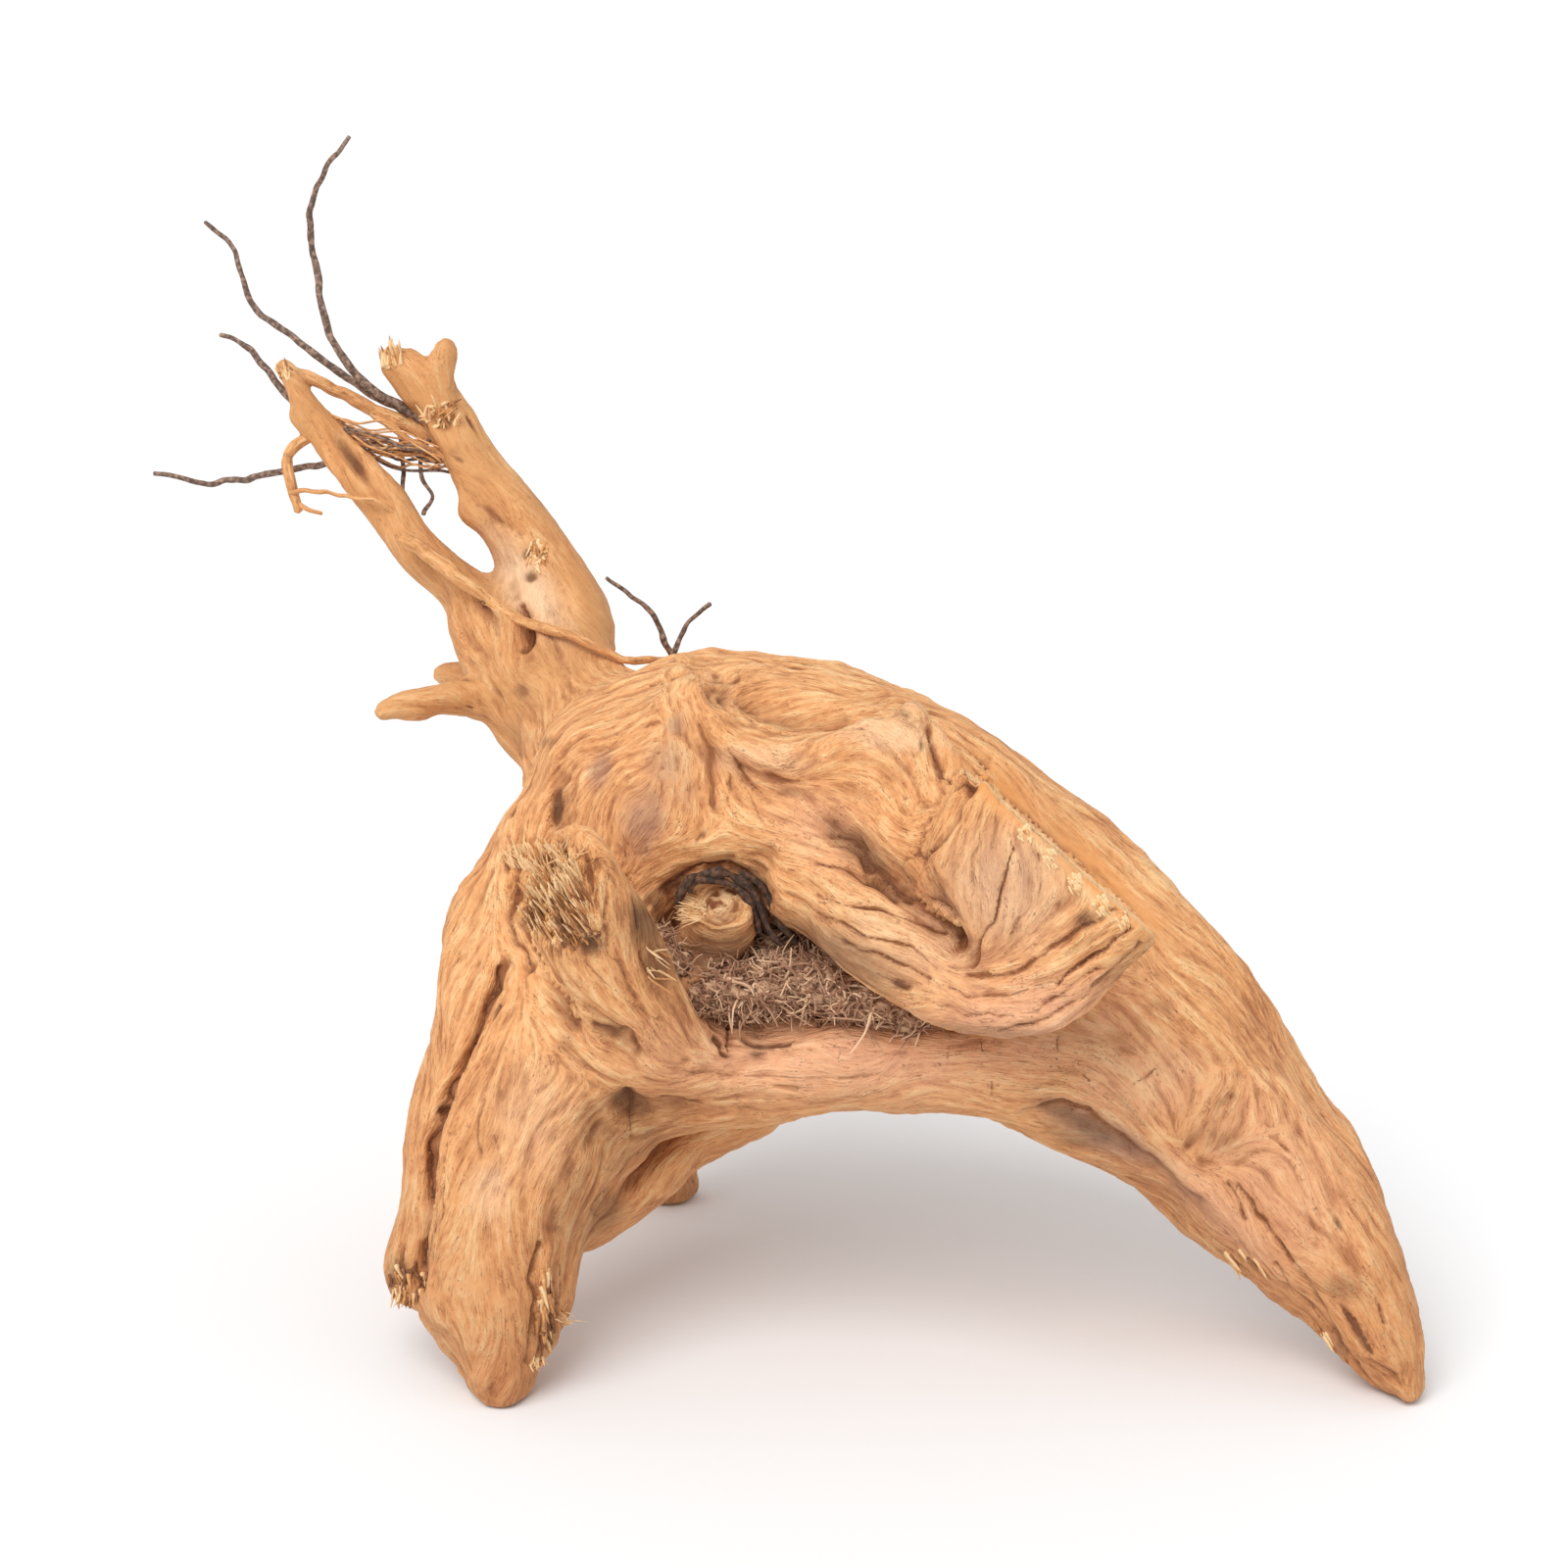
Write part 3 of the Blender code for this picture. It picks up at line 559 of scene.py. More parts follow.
@dataclass
class GrainField:
    """The direction of the wood's fibres, on a grid round the skin.

    At each place every limb adds the square of its direction, heavier the nearer it is for its thickness, and
    each knot adds the direction round its axis. The fibres run along the strongest direction of the sum.
    """

    step_mm: float = 5.0
    fall: float = 5.0
    knot_weight: float = 3.0
    guide_weight: float = 2.0
    guide_mm: float = 8.0
    stray: float = 0.3
    low: Array = field(init=False)
    shape: tuple[int, ...] = field(init=False)
    ways: Array = field(init=False)

    def build(self, points: Array, guides: list[Array]) -> None:
        """Works the directions out at the grid's places near the points; close to a guide they follow it.

        Args:
            points: The skin's points, (n, 3).
            guides: Lines on the skin that the fibres run along.
        """
        self.low = points.min(0) - 3 * self.step_mm
        size = points.max(0) + 3 * self.step_mm - self.low
        self.shape = tuple(int(n) for n in np.ceil(size / self.step_mm) + 1)
        near = np.zeros(self.shape, bool)
        near[tuple(((points - self.low) / self.step_mm).astype(int).T)] = True
        for _ in range(2):
            for axis in range(3):
                near |= np.roll(near, 1, axis) | np.roll(near, -1, axis)
        index = np.argwhere(near)
        places = self.low + index * self.step_mm
        total = np.zeros((len(places), 3, 3))
        for radius, nodes in GRAIN_LINES.values():
            route = to_row(smooth_route(np.array(nodes, float), 2))
            for start, end in zip(route, route[1:]):
                way = unit(end - start)
                distance = route_distance(places, np.array((start, end)))
                total += np.exp(-self.fall * distance / radius)[:, None, None] * np.outer(way, way)
        total /= np.trace(total, axis1=1, axis2=2)[:, None, None] + 1e-9
        for centre, axis, radius in KNOTS:
            offset = places - to_row(np.array(centre, float))
            weight = self.knot_weight * np.exp(-(offset**2).sum(1) / radius**2 / 2)
            way = unit(np.cross(unit(np.array(axis, float)), offset))
            total += weight[:, None, None] * way[:, :, None] * way[:, None, :]
        for route in guides:
            for start, end in zip(route, route[1:]):
                way = unit(end - start)
                weight = np.exp(-((route_distance(places, np.array((start, end))) / self.guide_mm) ** 2))
                total += self.guide_weight * weight[:, None, None] * np.outer(way, way)
        ways = np.linalg.eigh(total)[1][:, :, 2]
        wander = np.stack([
            soft_noise(places, 24, 40 + i) + 0.8 * soft_noise(places, 9, 50 + i) for i in range(3)], 1)
        ways = unit(ways * np.where(ways[:, :1] < 0, -1, 1) + self.stray * wander)
        self.ways = np.zeros((*self.shape, 3), np.float32)
        self.ways[tuple(index.T)] = ways

    def at(self, points: Array, towards: Array | None = None) -> Array:
        """The direction at each point: its grid cube's eight corners, turned the same way and weighed.

        Args:
            points: Places, (n, 3).
            towards: The way that the answer has to point, (n, 3), or the first corner's.

        Returns:
            Directions of length 1.
        """
        scaled = ((points - self.low) / self.step_mm).astype(np.float32)
        cell = np.clip(scaled.astype(np.int32), 0, np.array(self.shape, np.int32) - 2)
        share = np.clip(scaled - cell, 0, 1)
        weight = (1 - share, share)
        table = self.ways.reshape(-1, 3)
        base = (cell[:, 0] * self.shape[1] + cell[:, 1]) * self.shape[2] + cell[:, 2]
        if towards is None:
            towards = table[base]
        total = np.zeros((len(points), 3), np.float32)
        for i in (0, 1):
            for j in (0, 1):
                for k in (0, 1):
                    way = table[base + (i * self.shape[1] + j) * self.shape[2] + k]
                    turn = np.copysign(1, np.einsum("ij,ij->i", way, towards))
                    total += way * (weight[i][:, 0] * weight[j][:, 1] * weight[k][:, 2] * turn)[:, None]
        return total / np.maximum(np.sqrt(np.einsum("ij,ij->i", total, total)), 1e-6)[:, None]

    def smear(self, points: Array, streaks: dict[str, tuple[float, int]], step_mm: float) -> dict[str, Array]:
        """Noise averaged along the fibres both ways from each point, which draws streaks like real grain.

        Args:
            points: Places, (n, 3).
            streaks: For each name the size of its noise, and how many steps it is followed each way.
            step_mm: Length of a step along the fibres.

        Returns:
            A value a point for each name, with mean 0 and spread 1.
        """
        points = points.astype(np.float32)
        totals = {name: soft_noise(points, size, i) for i, (name, (size, _)) in enumerate(streaks.items())}
        for sign in (-1, 1):
            place = points
            way = self.at(points) * sign
            for step in range(max(steps for _, steps in streaks.values())):
                place = place + way * step_mm
                way = self.at(place, way)
                for i, (name, (size, steps)) in enumerate(streaks.items()):
                    if step < steps:
                        totals[name] += soft_noise(place, size, i)
        return {name: (total - total.mean()) / total.std() for name, total in totals.items()}


@dataclass(frozen=True)
class Stroke:
    """A line drawn in the wood where the picture shows it: a groove, a rib or a step, with a dark line along it
    that is a crack, and painted shade down deep grooves and crevices.

    A step raises the wood on the left of the route, for someone who follows it, and lowers the right.
    """

    route: tuple[tuple[int, int], ...]
    half_width_mm: float
    height_mm: float
    # strength of the dark line: a crack, and painted shade down deep grooves and crevices
    dark: float = 0.0
    step_mm: float = 0.0

    def guides(self) -> bool:
        """Whether it is long enough for the grain to follow it."""
        length = np.linalg.norm(np.diff(np.array(self.route), axis=0), axis=1).sum()
        return bool(length > GUIDE_PIXELS)


# Grooves, cracks, ribs and steps, by the picture's pixels; the dark lines down deep grooves, crevices and the
# edges of undersides are painted shade
STROKES: tuple[Stroke, ...] = tuple(Stroke(*row) for row in (
    # the long crack down the left leg, and the creases beside it
    (((511, 985), (508, 1008), (500, 1027), (491, 1052), (480, 1080), (466, 1102), (457, 1126),
      (449, 1147), (443, 1172), (440, 1200), (439, 1230), (437, 1258), (434, 1290), (430, 1312)),
      1.0, -2.4, 1.0),
    (((522, 990), (516, 1020), (504, 1050), (492, 1080), (476, 1110), (466, 1140), (458, 1175)), 2.0, 0.8),
    (((462, 1150), (452, 1190), (448, 1240), (444, 1262)), 0.6, -0.7, 0.5),
    (((496, 1120), (490, 1150), (488, 1180)), 0.6, -0.5, 0.4),
    (((506, 1160), (512, 1180), (508, 1200)), 0.6, -0.5, 0.4),
    (((548, 1268), (542, 1300), (546, 1340), (538, 1388)), 1.0, -1.6, 0.6),
    (((558, 1272), (554, 1305), (556, 1335)), 1.2, 1.2),
    (((572, 1290), (576, 1320), (570, 1350), (558, 1375)), 0.9, -1.3, 0.6),
    (((556, 1352), (562, 1360), (558, 1372)), 1.1, -1.6, 1.0),
    # the hollow between the stump and the leg, and the pit under the beam
    (((545, 985), (558, 1005), (575, 1024), (592, 1040), (615, 1052), (636, 1060), (650, 1074)), 4.6, -1.6),
    (((604, 1046), (624, 1053), (642, 1062), (652, 1074)), 1.2, -0.7, 0.5),
    (((552, 1030), (580, 1056), (612, 1076), (640, 1092)), 3.6, 1.2),
    (((640, 1118), (644, 1135), (646, 1158)), 1.4, -2.0, 0.7),
    (((612, 1150), (590, 1180), (572, 1215), (566, 1255)), 2.4, -1.4),
    (((640, 1190), (620, 1212), (606, 1236)), 1.4, -1.8, 0.6),
    # forehead and brow
    (((696, 688), (708, 708), (719, 728), (733, 750), (752, 765), (778, 771), (808, 771), (837, 767),
      (862, 759), (884, 750), (905, 744), (925, 741), (946, 749)), 4.2, 3.4),
    (((760, 736), (800, 742), (840, 742), (880, 730), (910, 722)), 4.0, -2.0),
    (((752, 690), (732, 693), (724, 706), (730, 721), (745, 729)), 1.8, -2.2, 0.35),
    (((735, 712), (748, 728), (775, 738)), 0.9, -0.9, 0.3),
    (((714, 752), (720, 776), (728, 800), (726, 826)), 1.8, -1.2),
    (((748, 766), (753, 782), (762, 796), (774, 808)), 0.7, -0.9, 0.6),
    (((741, 790), (744, 806), (741, 818)), 0.6, -0.6, 0.4),
    (((775, 798), (798, 796), (820, 799)), 0.7, -0.6, 0.4),
    (((756, 800), (772, 826), (780, 850)), 0.6, -0.6, 0.4),
    (((700, 772), (704, 800), (700, 830)), 0.6, -0.5, 0.3),
    (((946, 748), (954, 763), (958, 778), (966, 790), (976, 800), (986, 808)), 2.2, -3.4, 0.9),
    # the crevice over the elbow and the elbow's ribs
    (((850, 846), (866, 852), (878, 866), (890, 882), (905, 900), (928, 914), (952, 928), (970, 944),
      (981, 962)), 1.9, -3.0, 0.9),
    (((846, 862), (862, 862), (876, 874), (890, 890)), 1.0, -1.4, 0.7),
    (((830, 880), (852, 880), (872, 889), (892, 899), (915, 917)), 1.1, -1.8, 0.9),
    (((826, 890), (850, 892), (872, 903), (900, 918), (930, 932)), 1.3, 1.2),
    (((834, 913), (850, 919), (880, 925), (915, 931), (940, 941), (962, 953)), 0.8, -1.3, 0.8),
    (((832, 925), (860, 932), (890, 940), (925, 948)), 0.9, 0.9),
    (((840, 936), (865, 946), (890, 957), (930, 966)), 0.7, -1.1, 0.7),
    (((848, 950), (880, 962), (915, 974), (950, 985)), 0.9, 0.8),
    (((858, 961), (890, 972), (920, 984), (948, 998)), 0.8, -1.4, 0.8),
    (((880, 985), (905, 1000), (935, 1018), (965, 1030)), 0.8, -0.9, 0.5),
    (((925, 955), (938, 972), (955, 988)), 0.6, -0.7, 0.5),
    (((970, 1008), (1000, 1016), (1030, 1016), (1055, 1006), (1078, 1000)), 0.8, -1.1, 0.6),
    (((985, 992), (1010, 996), (1040, 990), (1070, 972), (1110, 945), (1140, 928)), 0.9, -1.2, 0.5),
    (((990, 1001), (1020, 1006), (1052, 998), (1086, 974), (1120, 950)), 0.9, 0.8),
    (((1080, 1005), (1100, 988), (1125, 968), (1152, 948)), 1.0, -1.8, 0.9),
    (((960, 1030), (1000, 1036), (1045, 1034), (1085, 1014), (1120, 990)), 0.7, -0.8, 0.4),
    (((1040, 1048), (1070, 1042), (1100, 1022), (1135, 992), (1162, 966)), 1.0, -1.0, 0.5),
    # the sawn fan
    (((1000, 799), (990, 815), (979, 836), (966, 856), (950, 868)), 1.2, -0.6, 0.35, 2.0),
    (((938, 874), (950, 900), (964, 922), (976, 945), (986, 974)), 2.6, -2.8, 0.3),
    (((1034, 866), (1026, 890), (1017, 925), (1005, 950), (996, 970), (988, 984)), 0.7, -1.2, 0.9),
    (((1008, 815), (1000, 850), (992, 890), (988, 930), (986, 965)), 0.6, -0.4, 0.3),
    (((1022, 812), (1015, 835), (1012, 870)), 0.6, -0.5, 0.5),
    (((1060, 872), (1063, 895), (1050, 925), (1030, 955)), 0.6, -0.5, 0.4),
    (((1048, 860), (1046, 890), (1034, 920), (1016, 950)), 0.8, 0.3),
    (((1085, 905), (1078, 928), (1055, 950), (1025, 972)), 0.6, -0.4, 0.3),
    (((1112, 925), (1090, 945), (1060, 965), (1025, 982)), 0.8, 0.4),
    # the torn stump and the creases below it
    (((517, 880), (521, 905), (519, 930), (525, 960), (540, 985)), 1.6, -3.0, 0.7),
    (((640, 900), (643, 930), (641, 960), (652, 985), (668, 1005)), 1.2, 1.4),
    (((618, 885), (622, 915), (618, 945), (624, 975), (640, 1000), (652, 1020)), 1.0, -1.2, 0.5),
    (((600, 985), (620, 1005), (645, 1025), (672, 1040)), 0.8, -0.8, 0.4),
    (((656, 975), (664, 990), (672, 1004)), 0.8, -1.2, 0.8),
    # the ring of the dead stub: a groove with painted shade down it
    (((682, 914), (692, 897), (714, 884), (745, 883), (766, 894), (780, 914), (786, 944)), 2.4, -3.2, 1.0),
    # checks across the beam and lines along it
    (((742, 1046), (744, 1060), (743, 1074)), 0.8, -1.4, 1.0),
    (((834, 1022), (836, 1045)), 0.8, -1.4, 1.0),
    (((894, 1030), (896, 1044)), 0.7, -1.0, 1.0),
    (((1002, 1062), (1003, 1076)), 0.7, -1.0, 1.0),
    (((967, 1070), (968, 1080)), 0.6, -0.7, 0.9),
    (((1077, 1062), (1080, 1074)), 0.6, -0.7, 0.9),
    (((1014, 1104), (1014, 1118)), 0.6, -0.7, 0.9),
    (((1022, 1052), (1040, 1046), (1060, 1048)), 0.6, -0.8, 0.8),
    (((720, 1062), (780, 1070), (850, 1068), (920, 1074)), 0.7, -0.6, 0.4),
    (((700, 1092), (770, 1098), (850, 1100), (940, 1098)), 0.7, -0.6, 0.4),
    (((760, 1120), (830, 1122), (900, 1118)), 0.6, -0.5, 0.3),
    # the underside of the right leg and its knot
    (((1060, 1128), (1085, 1122), (1108, 1127), (1130, 1145), (1152, 1162), (1172, 1177), (1196, 1198),
      (1216, 1216)), 0.9, -0.9, 0.8, 1.8),
    (((1262, 1208), (1288, 1243), (1316, 1278), (1338, 1310), (1351, 1336), (1361, 1358), (1372, 1382)),
      1.0, -1.6, 0.8, 1.0),
    (((1252, 1204), (1262, 1226), (1270, 1244)), 0.7, -0.9, 0.8),
    (((1284, 1236), (1306, 1262), (1322, 1290)), 0.8, -1.0, 0.6),
    (((1212, 1168), (1224, 1151), (1244, 1139), (1256, 1118)), 2.6, -1.6, 0.2),
    (((1230, 1186), (1262, 1186), (1290, 1176)), 2.4, -1.6),
    (((1160, 1106), (1170, 1099), (1180, 1090), (1184, 1104)), 0.6, -0.7, 0.8),
    (((1106, 1094), (1114, 1100)), 0.6, -0.6, 0.8),
    (((1300, 1290), (1322, 1322), (1352, 1358), (1385, 1392)), 1.0, -1.4, 0.5),
    (((1384, 1300), (1400, 1325), (1412, 1350)), 0.8, -0.8, 0.5),
    (((1402, 1388), (1418, 1402), (1432, 1418)), 0.9, -1.0, 0.5),
    # the neck: its slit, its knots' rims and the hollow between the arms
    (((500, 520), (508, 548), (520, 580), (532, 612), (537, 640), (534, 664)), 3.4, -2.0),
    (((470, 560), (488, 590), (500, 620), (505, 650)), 2.4, -1.0),
    (((560, 556), (566, 580), (560, 600)), 1.2, 1.0),
    (((533, 618), (536, 640), (534, 660)), 1.2, -2.0, 1.0),
    # grooves and ribs along the arms
    (((420, 420), (440, 455), (465, 490), (500, 525), (530, 545)), 1.8, -1.1, 0.25),
    (((445, 405), (470, 445), (500, 485), (540, 530), (575, 580), (595, 630)), 3.0, 1.0),
    (((404, 404), (414, 428), (428, 452)), 0.9, -0.8, 0.5),
    (((318, 430), (338, 465), (362, 500), (392, 535)), 1.4, -0.8, 0.3),
    (((340, 425), (368, 462), (398, 505), (420, 540)), 1.4, 0.7),
    (((470, 640), (480, 670), (500, 700), (520, 724)), 1.3, -0.8, 0.2),
    (((560, 640), (572, 670), (584, 704)), 1.1, -0.6, 0.2),
))


class StainAndShade(Enum):
    """Colours laid on the wood: marks of weathering and soil, painted shade, and a painted highlight."""

    # grey weathering, and painted shade under the right leg
    GREY_AND_SHADE = "grey"
    # paler wood, and a painted highlight on the brow's crest
    PALE_AND_HIGHLIGHT = "pale"
    PINK = "pink"
    SOIL = "soil"
    # painted shade in hollows, holes, creases and undersides
    DARK = "dark"
    SMOOTH = "smooth"
    FRESH = "fresh"
    TORN = "torn"
    BARE = "bare"


@dataclass(frozen=True)
class Patch:
    """A soft oval patch of colour where the picture shows it, in pixels, which may raise the wood too: a mark
    of weathering or soil, painted shade, or a painted highlight.
    """

    stain_and_shade: StainAndShade
    centre: tuple[int, int]
    half_axes: tuple[float, float]
    turn_deg: float = 0.0
    strength: float = 1.0
    height_mm: float = 0.0


PATCHES: tuple[Patch, ...] = tuple(Patch(stain_and_shade, *row) for stain_and_shade, rows in (
    # grey and violet weathering beside the forehead, and painted shade in grey under the right leg
    (StainAndShade.GREY_AND_SHADE, (
        ((658, 835), (22, 36), 12, 0.8), ((680, 780), (22, 26), 0, 0.6),
        ((612, 785), (11, 20), 20, 0.8, -0.6), ((690, 742), (8, 14), 20, 0.9),
        ((655, 865), (14, 12), 0, 0.6), ((700, 810), (16, 18), 0, 0.35), ((1130, 1160), (70, 18), 27, 1.0),
        ((1210, 1218), (40, 12), 42, 0.4),
    )),
    # painted shade in hollows and holes, and under the limbs
    (StainAndShade.DARK, (
        ((568, 822), (6, 20), 0, 0.9, -2.6), ((530, 705), (8, 8), 0, 0.5, -1.2),
        ((558, 757), (9, 5), 0, 0.5), ((1108, 938), (12, 9), -10, 0.8, -0.6),
        ((660, 940), (24, 30), 0, 1.0), ((672, 985), (16, 24), 0, 0.9), ((690, 905), (14, 9), -30, 0.9),
        ((774, 905), (9, 20), -25, 0.9), ((645, 1130), (24, 14), 20, 0.9, -4.5),
        ((640, 1160), (60, 34), -30, 0.45), ((588, 1220), (24, 56), 8, 0.35),
        ((1110, 1150), (60, 12), 26, 0.7), ((1200, 1204), (40, 8), 44, 0.5),
        ((612, 1160), (30, 16), -45, 0.35), ((618, 1235), (26, 16), -40, 0.6),
        ((620, 1056), (30, 8), 25, 0.6), ((878, 866), (44, 16), 38, 0.7),
    )),
    # the brow's crest, raised, with a painted highlight
    (StainAndShade.PALE_AND_HIGHLIGHT, (
        ((930, 741), (15, 9), 0, 0.3, 3.2),
    )),
    # more painted shade in creases, pits, holes and undersides
    (StainAndShade.DARK, (
        ((905, 905), (36, 8), 36, 0.6), ((962, 925), (30, 9), 55, 0.5), ((806, 808), (10, 5), 0, 0.6),
        ((738, 706), (8, 12), 0, 0.45, -0.8), ((1368, 1314), (26, 12), 15, 0.45),
        ((1240, 1165), (34, 12), 10, 0.4), ((1185, 1028), (12, 6), 30, 0.5),
        ((602, 966), (14, 13), 0, 1.0, -3.2), ((1010, 1052), (70, 8), 4, 0.45),
        ((1150, 985), (40, 10), -42, 0.4), ((408, 1302), (10, 18), 0, 0.9),
        ((1090, 1160), (34, 8), 25, 0.6), ((1366, 1368), (6, 14), -20, 0.9), ((560, 1362), (6, 10), 0, 0.9),
        ((358, 466), (28, 7), 56, 0.7, -2.6), ((452, 430), (12, 8), 30, 0.8, -2.0),
        ((541, 588), (7, 5), 0, 0.8, -1.4), ((538, 566), (5, 6), 0, 0.6, -1.0),
    )),
    (StainAndShade.PALE_AND_HIGHLIGHT, (
        ((548, 572), (14, 16), 0, 0.2, 1.6),
    )),
    # soil rubbed into the wood round the pocket
    (StainAndShade.SOIL, (
        ((735, 975), (60, 28), 5, 0.8), ((850, 975), (80, 28), 25, 0.8), ((820, 1028), (120, 12), 3, 0.5),
    )),
    # paler, redder and smoother places
    (StainAndShade.PINK, (
        ((860, 1075), (190, 50), 0, 0.9), ((1040, 1050), (130, 55), -10, 0.8),
        ((1300, 1200), (70, 110), -30, 0.5), ((1160, 1100), (80, 50), 0, 0.6),
        ((1250, 1240), (90, 20), 45, 0.7), ((1010, 930), (70, 60), 0, 0.4), ((840, 850), (60, 40), 30, 0.5),
    )),
    (StainAndShade.PALE_AND_HIGHLIGHT, (
        ((536, 596), (22, 62), -36, 0.9),
    )),
    (StainAndShade.SMOOTH, (
        ((440, 440), (34, 110), -36, 0.4), ((345, 470), (24, 100), -36, 0.35),
        ((600, 610), (14, 60), -24, 0.5),
    )),
    # paler wood; the first patch is a painted highlight along the brow's crest
    (StainAndShade.PALE_AND_HIGHLIGHT, (
        ((915, 756), (50, 12), 0, 0.6), ((770, 776), (60, 14), 5, 0.4), ((1030, 900), (60, 60), 40, 0.45),
        ((920, 960), (80, 40), 25, 0.4), ((500, 1215), (22, 30), 0, 0.5), ((545, 1140), (44, 62), 0, 0.3),
        ((737, 924), (20, 16), 0, 0.4),
    )),
    (StainAndShade.SMOOTH, (
        ((1025, 812), (60, 18), 42, 1.0, -1.0), ((1105, 882), (80, 20), 42, 1.0, -1.0),
        ((1160, 930), (40, 16), 42, 0.7),
    )),
    (StainAndShade.FRESH, (
        ((1108, 912), (36, 5), 44, 0.9, 0.5), ((1062, 866), (26, 4), 44, 0.6, 0.3),
    )),
    # torn wood: the stump's top, the stub's end and the frayed feet
    (StainAndShade.TORN, (
        ((566, 915), (42, 48), -15, 1.3), ((545, 880), (30, 12), 0, 1.0), ((737, 927), (25, 22), 0, 0.8),
        ((410, 1300), (16, 26), 0, 0.6), ((560, 1345), (16, 50), 0, 0.35), ((398, 364), (14, 12), 0, 0.7),
    )),
) for row in rows)


@dataclass(frozen=True)
class Pull:
    """Moves the skin round the place that a pixel shows, and draws it together where the share is above 0."""

    pixel: tuple[int, int]
    radius_mm: float
    move_mm: tuple[float, float, float]
    gather: float = 0.0


PULLS: tuple[Pull, ...] = tuple(Pull(*row) for row in (
    ((490, 868), 16, (4.0, 0, -1.8)), ((436, 1066), 18, (3.2, 0, -0.6)), ((456, 1388), 14, (4.4, 0, 2.2)),
    ((560, 1398), 9, (-1.6, 0, 0.8)), ((618, 1262), 13, (-3.4, 0, 5.0)), ((720, 1184), 12, (-1.6, 0, 3.4)),
    ((1192, 1240), 20, (3.2, 0, 4.4)), ((1340, 1360), 20, (2.4, 0, 2.6)),
    ((1346, 1096), 22, (-3.8, 0, -2.4)), ((700, 672), 13, (0, 0, -3.8)), ((642, 690), 8, (-2.4, 0, 0)),
    ((400, 358), 5, (0, 0, -2.0)), ((306, 426), 6, (-3.4, 0, -1.0)), ((440, 606), 9, (5.4, 0, 2.6)),
    ((430, 730), 6, (0, 0, -1.6)), ((520, 764), 8, (3.2, 0, 2.6)), ((482, 524), 7, (-4.4, 0, -1.0)),
    ((736, 906), 15, (0, 0, -10.0), 0.24), ((900, 880), 12, (0, -6.0, 4.0)),
    ((940, 922), 9, (0, -3.0, 2.0)), ((1404, 1414), 9, (4.0, 0, 3.6)),
))


# Noise drawn out along the grain: size in millimetres, and steps each way
STREAKS: dict[str, tuple[float, int]] = {
    "ridge": (5.5, 20), "rib": (2.7, 15), "check": (3.0, 15), "fibre": (1.8, 8)}


